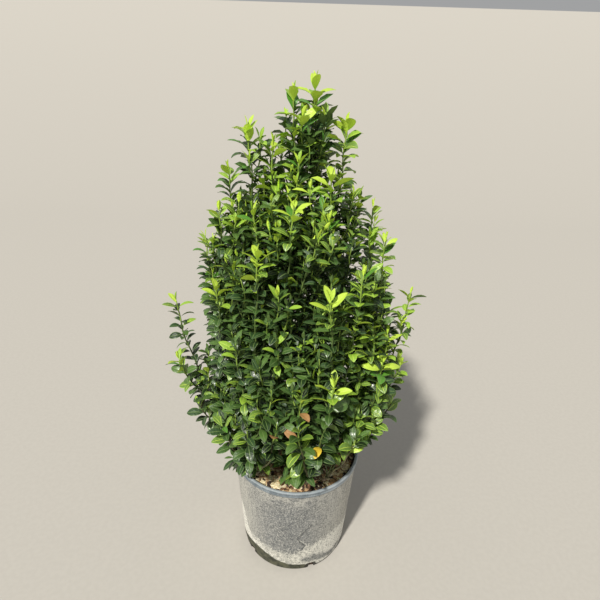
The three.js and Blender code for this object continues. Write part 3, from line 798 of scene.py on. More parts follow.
def rim_material():
    """The rim: cleaner blue-grey, with painted light making it paler to the right, a painted highlight on its
    lip, and painted shade in the groove under it and along its lower edge.
    """
    n = Nodes("pot_rim")
    x, _, z = n.add("ShaderNodeSeparateXYZ", n.places).outputs
    cloud = n.noise(45, 4, 0.6)
    base = n.blend(n.ramp(cloud, 0.35, 0.65), (98, 109, 117), (132, 141, 147))
    base = n.blend(n.ramp(n.noise(300, 2), 0.56, 0.68, 0.0, 0.5), base, (176, 180, 178))
    # Painted light: the rim grows paler towards the right.
    base = n.blend(n.ramp(x, 0.03, 0.12, 0.0, 0.45), base, (196, 204, 210))
    # Painted highlight along the top of the lip.
    base = n.blend(n.ramp(z, 0.2634, 0.2648, 0.0, 0.6), base, (170, 178, 183))
    # Painted shade in the groove under the lip.
    from_groove = n.math("ABSOLUTE", n.minus(z, 0.2592))
    base = n.blend(n.ramp(from_groove, 0.0005, 0.0015, 0.85, 0.0), base, (70, 78, 84))
    # Painted shade along the rim's lower edge, under its overhang.
    base = n.blend(n.ramp(z, 0.2528, 0.2514, 0.0, 0.8), base, (84, 88, 88))
    rough = n.ramp(cloud, 0.3, 0.7, 0.42, 0.6)
    return n.set(Base_Color=base, Roughness=rough, Normal=n.bump(n.noise(380, 3), 0.2, 0.0005))


# The plant's frame: masses, forks and boughs, as in the part's source


def all_masses():
    rows = dict(SEEN_MASSES)
    for name, (like, reach, lower) in BEHIND.items():
        *habit, tips = SEEN_MASSES[like]
        rows[name] = (*habit, [(x * reach, abs(y) * reach + 8, z - lower) for x, y, z in tips])
    keys = ("ring", "fork", "spread", "tips")
    masses = [{"name": name, **dict(zip(keys, row))} for name, row in rows.items()]
    for index, mass in enumerate(masses):
        mass["index"] = index
        mass["tips"] = np.array(mass["tips"], float)
    return masses


def fork_of(mass):
    x, y, z = mass["tips"].mean(0)
    reach, spread, height = math.hypot(x, y), mass["spread"], mass["fork"]
    lean = math.atan2(reach * (1 - spread), z - height) * 0.6
    return {"azimuth": math.atan2(y, x), "radius": reach * spread, "height": height, "lean": lean}


def slot_azimuths(forks):
    """Azimuths at which a ring's boughs leave the stem: evenly round it, in the order of their forks."""
    order = sorted(range(len(forks)), key=lambda k: forks[k]["azimuth"])
    step = 2 * math.pi / len(forks)
    offsets = [forks[member]["azimuth"] - place * step for place, member in enumerate(order)]
    start = math.atan2(sum(map(math.sin, offsets)), sum(map(math.cos, offsets)))
    return [start + order.index(k) * step for k in range(len(forks))]


def bough_of(ring, slot, fork):
    """A bough's line, its radii, its tip and the way it points there."""
    foot = np.array([0.0, MIX_LEVEL + ring["height"]])
    end = np.array([fork["radius"], fork["height"]])
    length = np.linalg.norm(end - foot)
    rise = math.radians(ring["rise"])
    leave = np.array([math.cos(rise), math.sin(rise)]) * length * BOUGH_LEAVE
    arrive = np.array([math.sin(fork["lean"]), math.cos(fork["lean"])]) * length * BOUGH_ARRIVE
    profile = limb_line(foot, leave, arrive, end)

    def turned(count):
        radius, z = respaced(profile, count).T
        eased = smooth(np.arange(count + 1) * BOUGH_STEPS / count, 0, BOUGH_STEPS - 1)
        return polar(radius, slot + wrapped(fork["azimuth"] - slot) * eased, z)

    coarse, fine = turned(BOUGH_STEPS), turned(BOUGH_FINE)
    radii = np.linspace(ring["radius"], BOUGH_TIP, BOUGH_FINE + 1)
    return {"points": fine, "radii": radii, "tip": coarse[-1], "along": unit(coarse[-1] - coarse[-2])}


def all_boughs(masses):
    boughs = {}
    for name, ring in RINGS.items():
        members = [mass for mass in masses if mass["ring"] == name]
        forks = [fork_of(mass) for mass in members]
        for mass, slot, fork in zip(members, slot_azimuths(forks), forks):
            boughs[mass["name"]] = bough_of(ring, slot, fork)
    return boughs


# Shoots


def swayed(line, seed, width):
    """The line with a slight wave, still at its foot and tip."""
    run = np.linspace(0, length_of(line), len(line))
    held = np.minimum(np.minimum(run, run[-1] - run) / 40, 1)
    phase = np.array([seed * 1.7, seed * 2.9 + 1])
    wave = np.sin(run[:, None] * 2 * math.pi / SWAY_LENGTH + phase) * width * held[:, None]
    return line + np.hstack([wave, np.zeros((len(line), 1))])


def shoot_record(mass, line, foot, tip, order, **habits):
    """A shoot along a line: its radii at foot and tip, and its order, 0 for a main shoot."""
    line = respaced(line, max(3, round(length_of(line) / (SIDE_RUN if order else SHOOT_STEP))))
    line = swayed(line, line[-1].sum(), SIDE_SWAY if order else SWAY_WIDTH)
    shoot = {"mass": mass, "points": line, "length": length_of(line), "sprig": False, **habits}
    return {**shoot, "foot": foot, "tip": tip, "order": order}


def main_shoots(masses, boughs):
    """The two shoots of each mass, on the source's curves and with its seeded sway."""
    made = []
    for mass in masses:
        bough = boughs[mass["name"]]
        for k, tip in enumerate(mass["tips"]):
            random = seeded(SEED + 101 * mass["index"] + 17 * k)
            foot = bough["tip"] + bough["along"] * COLLAR * 0.6
            end = tip - UP * TIP_LEAVES
            rise = end[2] - foot[2]
            sway = np.array([next(random) - 0.5, next(random) - 0.5, 0]) * rise * 0.06
            second = mix(foot, end, 0.3) + bough["along"] * rise * 0.1
            third = mix(foot, end, np.array([0.86, 0.86, 0.6])) + sway
            line = bezier((foot, second, third, end))
            made.append(shoot_record(mass["name"], line, SHOOT_FOOT, SHOOT_TIP, 0))
    return made


class Crowd:
    """The points of all shoots so far, kept by cell, to see whether a new shoot has room."""

    def __init__(self, shoots):
        self.cells = {}
        for shoot in shoots:
            self.add(shoot["points"], 0 if shoot["order"] else MAIN_ROOM)

    def add(self, line, room=0):
        for point in line.tolist():
            cell = tuple(int(value // CROWD_CELL) for value in point)
            self.cells.setdefault(cell, []).append((*point, room))

    def has_room(self, points, gap):
        for x, y, z in points.tolist():
            near = [[int(value // CROWD_CELL) + k for k in (-1, 0, 1)] for value in (x, y, z)]
            for cell in itertools.product(*near):
                for a, b, c, room in self.cells.get(cell, ()):
                    if (a - x) ** 2 + (b - y) ** 2 + (c - z) ** 2 < max(gap, room) ** 2:
                        return False
        return True


def easiest(limbs, strain_at):
    """The place on the limbs where the strain is least, and the way its limb points there."""
    found = []
    for points in (limb["points"] for limb in limbs):
        strain = strain_at(points)
        k = int(strain.argmin())
        found.append((strain[k], points[k], tangents(points)[k]))
    return min(found, key=lambda entry: entry[0])[1:]


def seen_side(mass, tip, limbs):
    """A side shoot up to a tip that shows, from the highest place on the limbs that it can rise from."""
    end = np.array(tip, float) - UP * TIP_LEAVES

    def strain_at(points):
        aside = np.hypot(*(end - points)[:, :2].T)
        return np.abs(end[2] - points[:, 2] - 1.5 * aside - 55) + 0.4 * aside

    foot, axis = easiest(limbs, strain_at)
    reach = np.linalg.norm(end - foot)
    out = unit((end - foot) * [1, 1, 0])
    leave = unit(axis * 0.6 + out * 0.8) * reach * 0.26
    arrive = unit(UP + out * 0.06) * reach * 0.4
    line = limb_line(foot, leave, arrive, end)
    return shoot_record(mass, line, SIDE_FOOT + 0.2, SIDE_TIP + 0.1, 1)


def sprig(mass, tip, limbs):
    """A low side shoot that turns outwards, from the near part of its bough."""
    end = np.array(tip[:3], float)

    def strain_at(points):
        apart = np.linalg.norm(end - points, axis=1)
        inward = math.hypot(*end[:2]) - np.hypot(points[:, 0], points[:, 1])
        return np.abs(apart - 62) + 40 * (inward < 12) + 0.5 * np.clip(points[:, 2] - end[2], 0, 99)

    foot, axis = easiest(limbs, strain_at)
    reach = np.linalg.norm(end - foot)
    out = unit(end * [1, 1, 0])
    leave = unit(axis + out) * reach * 0.3
    arrive = unit(out + UP * 0.25) * reach * 0.35
    line = limb_line(foot, leave, arrive, end)
    vigour = tip[3] if len(tip) > 3 else SPRIG_VIGOUR
    return shoot_record(mass, line, SIDE_FOOT, SIDE_TIP, 1, sprig=True, vigour=vigour)


def named_shoots(table, make, main, boughs):
    """Shoots to the tips in a table, from the main shoots given or from the mass's bough."""
    made = []
    for mass, tips in table.items():
        bough = boughs[mass]["points"]
        limbs = [shoot for shoot in main if shoot["mass"] == mass]
        limbs.append({"points": bough[len(bough) // 3 :]})
        made += [make(mass, tip, limbs) for tip in tips]
    return made


def side_shoots(parents, crowd, order, rng):
    """Shoots that leave their parents steeply and run up beside them, where there is room."""
    made = []
    for parent in parents:
        points, length = parent["points"], parent["length"]
        axes = tangents(points)
        turn = rng.uniform(0, 2 * math.pi)
        place = max(parent.get("first", 0), SIDE_FIRST) * rng.uniform(0.9, 1.2)
        high = share(points[-1][2], 800, 930)
        while place < length - parent.get("last", mix(SIDE_LAST, SIDE_LAST_HIGH, high)):
            at = place / length * (len(points) - 1)
            foot = between(points, at)
            axis = unit(axes[int(at)] + 0.6 * axes[-1] + parent.get("lift", SIDE_LIFT) * UP)
            left = max(length - place - 24 * high, parent.get("reach", 0))
            for _ in range(SIDE_TRIES):
                turn += SIDE_TURN + rng.uniform(-0.5, 0.5)
                side = unit(np.cross(axis, [0.31, 0.95, 0.1]))
                out = side * math.cos(turn) + np.cross(axis, side) * math.sin(turn)
                reach = np.clip(left * rng.uniform(0.45, 0.97), *SIDE_REACH)
                aside = np.clip(reach * rng.uniform(0.18, 0.36), *SIDE_ASIDE)
                end = foot + axis * reach * 0.95 + out * aside
                away = axis * math.cos(SIDE_ANGLE) + out * math.sin(SIDE_ANGLE)
                line = limb_line(foot, away * reach * 0.24, axis * reach * 0.4, end)
                gap = read_off(SIDE_GAPS, end[2]) * (FINE_GAP if order == 2 else 1)
                probes = respaced(line, 12)
                probes = probes[np.linalg.norm(probes - foot, axis=1) > PROBE_FROM]
                steep = end[2] - foot[2] > STEEPNESS * math.hypot(*(end - foot)[:2])
                if steep and shoot_fits(probes) and crowd.has_room(probes, gap):
                    made.append(shoot_record(parent["mass"], line, SIDE_FOOT, SIDE_TIP, order))
                    crowd.add(made[-1]["points"])
                    break
            place += SIDE_STEP * rng.uniform(0.7, 1.3)
    return made


def bough_parents(masses, boughs):
    """The outer part of each bough, as a parent of shoots that fill the crown between the masses."""
    parents = []
    for mass in masses:
        if mass["ring"] != "leader":
            line = boughs[mass["name"]]["points"]
            length = length_of(line)
            place = {"mass": mass["name"], "points": line, "length": length, "first": length * 0.42}
            parents.append({**place, **BOUGH_HABIT})
    return parents


def low_limit(places):
    """Height under which no leaf hangs: the mix shows in front, and leaves droop over the rim at the left."""
    x, y = places[..., 0], places[..., 1]
    left = np.exp(-((wrapped(np.arctan2(y, x) - LEFT_AZIMUTH) / 0.5) ** 2))
    base = read_off(LOW_LIMIT, np.hypot(x, y)) - left * LEFT_DROOP
    front = read_off(FRONT_LIMIT, x) - FRONT_RISE * (y + FRONT_FROM)
    return np.maximum(base, front)


def body_reach(places):
    """Reach of the leafy body in the direction and at the height of each place."""
    heights, *reaches = np.array(BODY_REACH, float).T
    turn = np.arctan2(places[..., 1], places[..., 0])
    left, right, front = (np.interp(places[..., 2], heights, reach) for reach in reaches)
    return mix(front, np.where(np.cos(turn) < 0, left, right), np.cos(turn) ** 2)


def in_cleft(places):
    """True in one of the thin clefts of the crown."""
    x, y, z = np.moveaxis(places, -1, 0)
    inside = [
        (np.abs(x - middle - slope * y) < half) & (z > foot) & (z < top)
        for middle, slope, half, foot, top in CLEFTS
    ]
    return np.any(inside, 0)


def shoot_fits(places):
    radius = np.hypot(places[:, 0], places[:, 1])
    inside = (radius < body_reach(places) - LEAF_REACH).all()
    return inside and (places[:, 2] > low_limit(places) + 6).all() and not in_cleft(places).any()


def in_sight(shoot):
    """False for a shoot whose tip would hang in front of the bare mix."""
    tip = shoot["points"][-1]
    return shoot["sprig"] or tip[2] > low_limit(tip) - TIP_LEAVES


def on_right_flank(tip):
    """Whether a shoot stands at the right of the front, where its leaves are given painted light: a lighter
    tint, as if sunlit.
    """
    return tip[0] > 92 and tip[1] < 30 and tip[2] > 440


def give_habits(shoot, hidden, rng):
    """How flushed and how light a shoot is, how close its leaves stand, and how large they are."""
    tip, leading = shoot["points"][-1], shoot["order"] == 0
    if leading:
        flush = rng.uniform(0.3, 0.8) * (0.28 if shoot["mass"] in hidden else 1)
    else:
        flush = rng.choice(SIDE_FLUSH) * read_off(FLUSH_UP, tip[2])
    # The right flank's leaves get painted light: a lighter tint.
    shade = rng.normal(0, 0.55) + PAINTED_FLANK_LIGHT * on_right_flank(tip)
    spacing = rng.uniform(7.9, 9.4) if leading else rng.uniform(8.3, 11.6)
    spacing += read_off(SPACING_UP, tip[2])
    shoot.setdefault("vigour", rng.uniform(0.94, 1.1) if leading else rng.uniform(0.84, 1.04))
    shoot["flush"], shoot["shade"] = (0.1, 1.0) if shoot["sprig"] else (flush, shade)
    shoot["spacing"] = LOOSE_SPACING if shoot["mass"] in LOOSE_MASSES else spacing


def grow():
    """The masses, the boughs and every shoot with its habits."""
    masses = all_masses()
    boughs = all_boughs(masses)
    rng = np.random.default_rng(SIDE_SEED)
    main = main_shoots(masses, boughs)
    seen = named_shoots(SEEN_SIDES, seen_side, main, boughs)
    sprigs = named_shoots(SPRIGS, sprig, [], boughs)
    crowd = Crowd(main + seen + sprigs)
    sides = side_shoots(main + seen, crowd, 1, rng)
    inner = side_shoots(bough_parents(masses, boughs), crowd, 1, rng)
    fine = side_shoots(sides + inner, crowd, 2, rng)
    shoots = main + seen + sprigs + sides + inner + fine
    rng = np.random.default_rng(LEAF_SEED)
    hidden = [mass["name"] for mass in masses if mass["ring"] in ("heart", "low")]
    for shoot in shoots:
        give_habits(shoot, hidden, rng)
    for place, flush, size in BRIGHT_TIPS:
        nearest = min(shoots, key=lambda shoot: math.dist(shoot["points"][-1], place))
        nearest["flush"], nearest["tip_size"] = flush, size
    return masses, boughs, [shoot for shoot in shoots if in_sight(shoot)]


# Leaves


def leaf_template(grid):
    """Faces of one leaf with their kinds. Corners are the root, the tip, then for each station between them
    its upper corners and the keel."""
    stations, width = len(grid["stations"]) - 2, len(grid["columns"]) + 1
    kinds = [*grid["strips"], UNDERSIDE, UNDERSIDE]
    quads = ring_faces(stations, width) + 2
    tris = np.stack(end_faces(stations, width, -2, -1), 1).reshape(-1, 3) + 2
    return quads, np.tile(kinds, stations - 1), tris, np.repeat(kinds, 2)


def leaf_corners(leaves, grid):
    """Corners of every leaf at once, as an array of leaves by corners by 3."""
    stations, columns = grid["stations"], grid["columns"]
    root, along, normal = (leaves[k][:, None] for k in ("root", "along", "normal"))
    across = np.cross(along, normal)
    length, width, curl, fold = (leaves[k][:, None] for k in ("length", "width", "curl", "fold"))
    bend = curl * stations ** 1.25
    step = np.diff(stations) * length
    middle = (bend[:, 1:] + bend[:, :-1]) / 2
    ahead, drop = (
        np.concatenate([np.zeros_like(length), np.cumsum(part * step, 1)], 1)[..., None]
        for part in (np.cos(middle), np.sin(middle))
    )
    spine = root + along * ahead - normal * drop
    lifted = normal * np.cos(bend)[..., None] + along * np.sin(bend)[..., None]
    half = (width / 2 * grid["halves"])[..., None]
    height = half * (fold[..., None] * np.abs(columns) - MARGIN_DROP * columns**4)
    upper = spine[:, :, None] + across[:, :, None] * (half * columns)[..., None]
    upper = upper + lifted[:, :, None] * height[..., None]
    keel = spine - lifted * (0.25 + 0.04 * half)
    inner = np.concatenate([upper, keel[:, :, None]], 2)[:, 1:-1]
    return np.concatenate([spine[:, :1], spine[:, -1:], inner.reshape(len(root), -1, 3)], 1)


def tint_of(depth, shoot, rng):
    """The tint of a leaf: lime at a flushing tip, then ever darker down the shoot."""
    flush = shoot["flush"]
    height = share(shoot["points"][-1][2], 380, 950)
    if flush > 0.12 and depth < 20 * flush**2 + 2:
        return "lime" if rng.random() < flush else "light"
    if depth < 5 + 30 * flush:
        pick = rng.random()
        light = pick < 0.2 + 0.3 * flush if height > 0.4 else pick < 0.5 * flush
        young = "light" if light else "bright" if pick > 0.7 else "fresh"
        return young if flush > 0.12 or height > 0.72 else "green"
    level = read_off(LEVELS, height) + 1.6 * flush * (1 - share(depth, 20, 110))
    level += rng.normal(0, read_off(LEVEL_SPREADS, height))
    level += shoot["shade"] - 1.6 * share(depth, 60, 260)
    lightest = len(OLD_TINTS) - (1 if height > 0.4 else 2)
    return OLD_TINTS[min(max(round(level), 0), lightest)]


def leaves_on(shoot, rng):
    """Records of a shoot's leaves: opposite pairs down from its tip, each a quarter turn on."""
    points, length, lying = shoot["points"], shoot["length"], shoot["sprig"]
    axes = tangents(points)
    depth, turn = 0.0, rng.uniform(0, math.pi) * (TIP_TURN if "tip_size" in shoot else 1)
    bare = 19 if shoot["order"] else 12
    records = []
    while depth < length - bare:
        at = (1 - depth / length) * (len(points) - 1)
        place, axis = between(points, at), unit(between(axes, at))
        side = unit(np.cross(axis, [0.0, 1.0, 0.0] if abs(axis[1]) < 0.9 else [1.0, 0.0, 0.0]))
        third = np.cross(axis, side)
        young, erect = 1 - share(depth, 0, 8), share(place[2], 860, 950)
        size = read_off(LEAF_LENGTHS, place[2]) * shoot["vigour"]
        size *= mix(read_off(LEAF_SIZE, depth), YOUNG_SIZE, young)
        size *= mix(shoot.get("tip_size", 1), 1, share(depth, 30, 80))
        slim = mix(read_off(SLIM_UP, place[2]), BROAD_ERECT, erect) * read_off(LEAF_SLIM, depth)
        opened = math.radians(mix(read_off(LEAF_OPEN, depth) - 4 * erect, YOUNG_OPEN, young))
        curl = math.radians(mix(read_off(LEAF_CURL, depth) + 12 * erect, YOUNG_CURL, young))
        for sign in (0, math.pi):
            spin = turn + sign + rng.normal(0, 0.2)
            out = side * math.cos(spin) + third * math.sin(spin)
            open_here = opened + rng.normal(0, 0.2)
            along = axis * math.cos(open_here) + out * math.sin(open_here)
            normal = axis * math.sin(open_here) - out * math.cos(open_here)
            if lying:
                along = unit(along * [1, 1, 0.3])
                normal = unit(UP - along * along[2])
            roll = rng.normal(0, mix(0.34, 0.48, erect))
            normal = normal * math.cos(roll) + np.cross(along, normal) * math.sin(roll)
            here = size * rng.uniform(0.84, 1.1)
            records.append(
                {
                    "root": place + along * PETIOLE_SINK,
                    "along": along,
                    "normal": normal,
                    "length": here,
                    "width": here * LEAF_WIDTH * slim * rng.uniform(0.88, 1.14),
                    "curl": curl * rng.uniform(0.55, 1.35),
                    "fold": mix(0.42, 0.6, young) * rng.uniform(0.6, 1.4),
                    "tint": TINT_NAMES.index(tint_of(depth, shoot, rng)),
                    "depth": depth,
                    "sprig": lying,
                    "leading": not shoot["order"],
                    "keep": rng.random(),
                }
            )
        depth += mix(7.5, shoot["spacing"], share(depth, 0, 12)) * rng.uniform(0.88, 1.12)
        turn += math.pi / 2 + rng.normal(0, 0.08)
    return records


def kept_leaves(records):
    """A table of the leaves that have room: clear of the pot, of the mix and of the bare middle."""
    table = {k: np.array([r[k] for r in records]) for k in records[0]}
    probes = leaf_corners(table, INNER_LEAF)[:, 1::3]
    z = probes[..., 2]
    radius = np.hypot(probes[..., 0], probes[..., 1])
    in_rim = (np.abs(radius - RIM_RADIUS + 7) < RIM_ROOM) & (z < POT_HEIGHT + RIM_CLEAR)
    in_mix = (radius < RIM_RADIUS) & (z < MIX_LEVEL + MIX_CLEAR)
    droop = np.where(table["leading"], MAIN_DROOP, SIDE_DROOP)[:, None]
    on_sprig = table["sprig"] & (table["depth"] < SPRIG_LEAVES)
    low = (z < low_limit(probes) - droop) & ~on_sprig[:, None]
    root = table["root"]
    table["inside"] = body_reach(root) - np.hypot(root[:, 0], root[:, 1])
    chance = read_off(KEPT_INSIDE, table["inside"]) * read_off(KEPT_DOWN, table["depth"])
    keep = ~(in_rim | in_mix | low).any(1) & (table["keep"] < chance * LEAVES_LEFT)
    return {k: v[keep] for k, v in table.items()}


def turn_leaves(tables):
    """Gives the leaf nearest each of the turned places its tint."""
    for place, tint in TURNED_LEAVES:
        near = []
        for table in tables.values():
            middle = table["root"] + table["along"] * table["length"][:, None] * 0.6
            apart = np.linalg.norm(middle - place, axis=1)
            near.append((apart.min(), int(apart.argmin()), table))
        _, index, table = min(near, key=lambda entry: entry[0])
        table["tint"][index] = TINT_NAMES.index(tint)


def leaf_piece(name, table, materials):
    """One object of many leaves: those near the outside on a finer grid than those within."""
    batch = Batch()
    within = table["inside"] > INNER_FROM
    for grid, chosen in ((OUTER_LEAF, ~within), (INNER_LEAF, within)):
        leaves = {k: v[chosen] for k, v in table.items()}
        quads, quad_kinds, tris, tri_kinds = leaf_template(grid)
        corners = leaf_corners(leaves, grid)
        count, size = corners.shape[:2]
        shift = (np.arange(count) * size)[:, None, None]
        tint = leaves["tint"][:, None]
        trim = len(TINTS) + (tint >= YOUNG_FROM) * len(TRIMS["old"]) - 1
        slots = [
            np.where((kinds == BLADE) | (tint >= TURNED_FROM), tint, trim + kinds).ravel()
            for kinds in (quad_kinds, tri_kinds)
        ]
        faces = (quads + shift).reshape(-1, 4), (tris + shift).reshape(-1, 3)
        batch.add(corners.reshape(-1, 3), *faces, *slots)
    return batch.object(name, materials, sharp=60)


# Bark and shoots


def bark_relief(run, sides, depth):
    """Long fissures and small lumps, as an outward shift."""
    run, turn = run[:, None], circle(sides)
    ridges = np.abs(np.sin(turn * 5 + 1.7 * np.sin(run * 0.11) + 0.8 * np.sin(run * 0.31 + turn * 2)))
    lumps = np.sin(run * 0.27 + turn * 3.1) * np.sin(run * 0.19 - turn * 2 + 1)
    fine = np.sin(run * 1.1 + turn * 9) * np.sin(turn * 13 - run * 0.7)
    return depth * (1.1 * (ridges - 0.6) + 0.5 * lumps + 0.25 * fine)


def bark_piece(boughs, material):
    batch = Batch()

    def add(line, radii, sides, cap):
        vertices, quads, tris = tube(line, radii, sides)
        vertices[-1] = line[-1] + cap
        batch.add(vertices, quads, tris)

    foot = MIX_LEVEL + CLEAR
    heights, radii = np.array(STEM_PROFILE, float).T
    z = np.linspace(foot, heights[-1] + foot, STEM_RINGS)
    radius = np.interp(z, heights + foot, radii)[:, None] + bark_relief(z, STEM_SIDES, BARK_RELIEF)
    flare = np.clip(1 - (z - foot) / 22, 0, 1)[:, None] ** 2
    radius = radius + flare * 3.0 * np.cos(circle(STEM_SIDES) * 5 + 0.7)
    add(polar(0, 0, z), np.minimum(radius, STEM_FOOT + 2.5), STEM_SIDES, UP * 1.5)
    for bough in boughs.values():
        line = bough["points"]
        relief = bark_relief(np.linspace(0, length_of(line), len(line)), BOUGH_SIDES, BOUGH_RELIEF)
        add(line, bough["radii"][:, None] + relief, BOUGH_SIDES, bough["along"])
    return batch.object("stem_and_boughs", [material], sharp=70)


def twig_piece(shoots, boughs, materials):
    """Every shoot as a green tube: woody low down, green above, and pale at its tip."""
    batch = Batch()
    for bough in boughs.values():
        ahead = bough["tip"] + bough["along"] * np.array([[CLEAR], [COLLAR * 0.5], [COLLAR + 2]])
        batch.add(*tube(ahead, [BOUGH_TIP, BOUGH_TIP + 0.3, BOUGH_TIP], SHOOT_SIDES + 2))
    for shoot in shoots:
        line = shoot["points"]
        count, sides = len(line), SHOOT_SIDES - (shoot["order"] > 0)
        radii = mix(shoot["foot"], shoot["tip"], np.linspace(0, 1, count)) * SHOOT_GIRTH
        radii = radii * (1 + 0.07 * np.sin(np.arange(count) * 2.4 + count))
        radii[-1] *= 0.8
        vertices, quads, tris = tube(line, radii, sides)
        depth = (1 - (np.arange(len(quads)) // sides + 0.5) / (count - 1)) * shoot["length"]
        woody = read_off(WOODY_FROM, line[-1][2])
        green = 0 if shoot["sprig"] else TIP_GREEN
        low = np.repeat(line[1:, 2] < WOODY_UNDER, sides) & (green > 0)
        slot = np.where(low | (depth > woody), 0, np.where(depth > green, 1, 2))
        batch.add(vertices, quads, tris, slot, np.repeat([slot[0], slot[-1]], sides))
    return batch.object("shoots", materials)


# Pot and potting mix


def outer_radius(z):
    return mix(BASE_RADIUS, RIM_RADIUS - RIM_OVERHANG, z / (POT_HEIGHT - RIM_BAND))


def inner_radius(z):
    low, high = BASE_RADIUS - FOOT_INSET - WALL, RIM_RADIUS - RIM_OVERHANG - WALL
    return mix(low, high, (z - FILLET_TOP) / (POT_HEIGHT - 2 - FILLET_TOP))


def pot_profile():
    """The pot's section from the middle of its underside, up its outside and down its inside."""
    band, step = POT_HEIGHT - RIM_BAND, POT_HEIGHT - RIM_STEP
    foot, rim = BASE_RADIUS - FOOT_INSET, RIM_RADIUS
    inside, low = inner_radius(POT_HEIGHT - 2), inner_radius(FILLET_TOP)
    return [
        (0, 0), (40, 0), (80, 0), (foot - 3, 0), (foot - 1.2, 0.3), (foot - 0.3, 1.2), (foot, 3),
        (foot, 8), (foot, 13), (foot + 0.1, FOOT_HEIGHT - 1.5), (foot + 0.9, FOOT_HEIGHT - 0.3),
        *[(outer_radius(z), z) for z in np.linspace(FOOT_HEIGHT + 1, band - 1.5, 46)],
        (outer_radius(band) + 0.2, band - 0.4), (rim - 2.2, band + 0.3), (rim - 1.6, band + 1.4),
        (rim - 1.4, band + 3), (rim - 1.5, step - 1.8), (rim - 1.9, step - 0.9), (rim - 1.2, step - 0.2),
        (rim - 0.3, step + 0.6), (rim, step + 1.8), (rim - 0.1, step + 3.2), (rim - 0.8, step + 4.4),
        (rim - 2.2, step + 5), (inside + 1.8, step + 5), (inside + 0.6, step + 4.5), (inside, step + 3.4),
        *[(inner_radius(z), z) for z in np.linspace(POT_HEIGHT - 12, FILLET_TOP, 12)],
        (low - 1.6, 6), (low - 5, FLOOR_TOP), (80, FLOOR_TOP), (40, FLOOR_TOP), (0, FLOOR_TOP),
    ]


def turned_solid(profile, sides, shape):
    """A closed solid of revolution with a point of its section at each end on the axis."""
    radius, z = np.array(profile[1:-1], float).T[:, :, None]
    places = shape(*np.moveaxis(polar(radius, circle(sides), z), -1, 0))
    ends = np.array([[0, 0, profile[0][1]], [0, 0, profile[-1][1]]], float)
    vertices = np.vstack([np.stack(places, -1).reshape(-1, 3), ends])
    return vertices, *closed_faces(len(profile) - 2, sides)


def used_shape(x, y, z):
    """A pot that has been used: slightly out of round, with shallow dents."""
    turn, radius = np.arctan2(y, x), np.hypot(x, y)
    wave = 0.55 * np.sin(2 * turn + 0.6 + z * 0.006) + 0.3 * np.sin(3 * turn - 1.1 - z * 0.013)
    dents = 0.35 * np.sin(5 * turn + z * 0.04) * np.sin(z * 0.035 - 0.8 + 2 * turn)
    grown = POT_DENT * (wave + dents) * share(z, 0, 60) * (radius > 100)
    scale = 1 + grown / np.maximum(radius, 1)
    return x * scale, y * scale, z


def drain_axes(k):
    """Unit vectors outwards, sideways and up at a drain hole."""
    turn = math.radians(DRAIN_AZIMUTH + 360 * k / DRAIN_COUNT)
    cos, sin = math.cos(turn), math.sin(turn)
    return np.array([[cos, sin, 0], [-sin, cos, 0], UP])


def drain_cutter(axes):
    """An arch through the foot of the wall and the edge of the floor."""
    half, spring = DRAIN_WIDTH / 2, DRAIN_HEIGHT - DRAIN_WIDTH / 2
    arc = [(half * math.cos(t), spring + half * math.sin(t)) for t in np.linspace(0, math.pi, 13)]
    arch = [(half, -2), *arc, (-half, -2)]
    places = np.array([(BASE_RADIUS + out, *row) for out in (-DRAIN_REACH, DRAIN_REACH) for row in arch])
    count = len(arch)
    near_cap, far_cap = np.arange(count)[::-1][None], (np.arange(count) + count)[None]
    return mesh_object("cutter", places @ axes * MM, [ring_faces(2, count), near_cap, far_cap], [])


def pot_piece(wall, rim):
    vertices, quads, tris = turned_solid(pot_profile(), POT_SIDES, used_shape)
    slot = vertices[quads].mean(1)[:, 2] > POT_HEIGHT - RIM_BAND - 0.2
    slots = [slot, np.zeros(len(tris))]
    pot = mesh_object("pot_weathered", vertices * MM, [quads, tris], [wall, rim], slots)
    for k in range(DRAIN_COUNT):
        cutter = drain_cutter(drain_axes(k))
        cut = pot.modifiers.new("drain", "BOOLEAN")
        cut.operation, cut.solver, cut.object = "DIFFERENCE", "EXACT", cutter
        with bpy.context.temp_override(object=pot, active_object=pot):
            bpy.ops.object.modifier_apply(modifier="drain")
        bpy.data.objects.remove(cutter)
    pot.data.set_sharp_from_angle(angle=math.radians(50))
    return pot


def mix_height(x, y):
    lumps = np.sin(x * 0.071 + 1.3) * np.cos(y * 0.083 - 0.6) + 0.6 * np.sin(x * 0.19 - y * 0.16)
    return MIX_LEVEL + MIX_LUMP * lumps * share(np.hypot(x, y), MIX_PAD, MIX_PAD + 22)


def crumbly_shape(x, y, z):
    crumbs = np.sin(x * 0.83 + 2 * np.sin(y * 0.37)) * np.sin(y * 0.91 + 2 * np.sin(x * 0.41))
    crumbs = crumbs + 0.5 * np.sin(x * 1.9 + y * 1.3) * np.sin(y * 2.1 - x * 0.9)
    height = mix_height(x, y) + 1.1 * crumbs * share(np.hypot(x, y), 28, 36)
    return x, y, np.where(z > MIX_LEVEL - 1, height, z)


def mix_piece(material):
    """The potting mix: the source's lumps with a crumbly surface."""
    shoulder, floor = MIX_LEVEL - 8, FLOOR_TOP + CLEAR
    foot, edge = inner_radius(FILLET_TOP) - MIX_GAP, inner_radius(shoulder) - MIX_GAP
    profile = [(0, floor), (foot - 5, floor), (foot, FILLET_TOP + 1), (edge, shoulder), (edge, shoulder + 4)]
    profile += [(mix(4, edge - 1.5, k / MIX_RINGS), MIX_LEVEL) for k in range(MIX_RINGS, -1, -1)]
    vertices, *faces = turned_solid([*profile, (0, MIX_LEVEL)], MIX_SIDES, crumbly_shape)
    return mesh_object("mix_surface", vertices * MM, faces, [material])


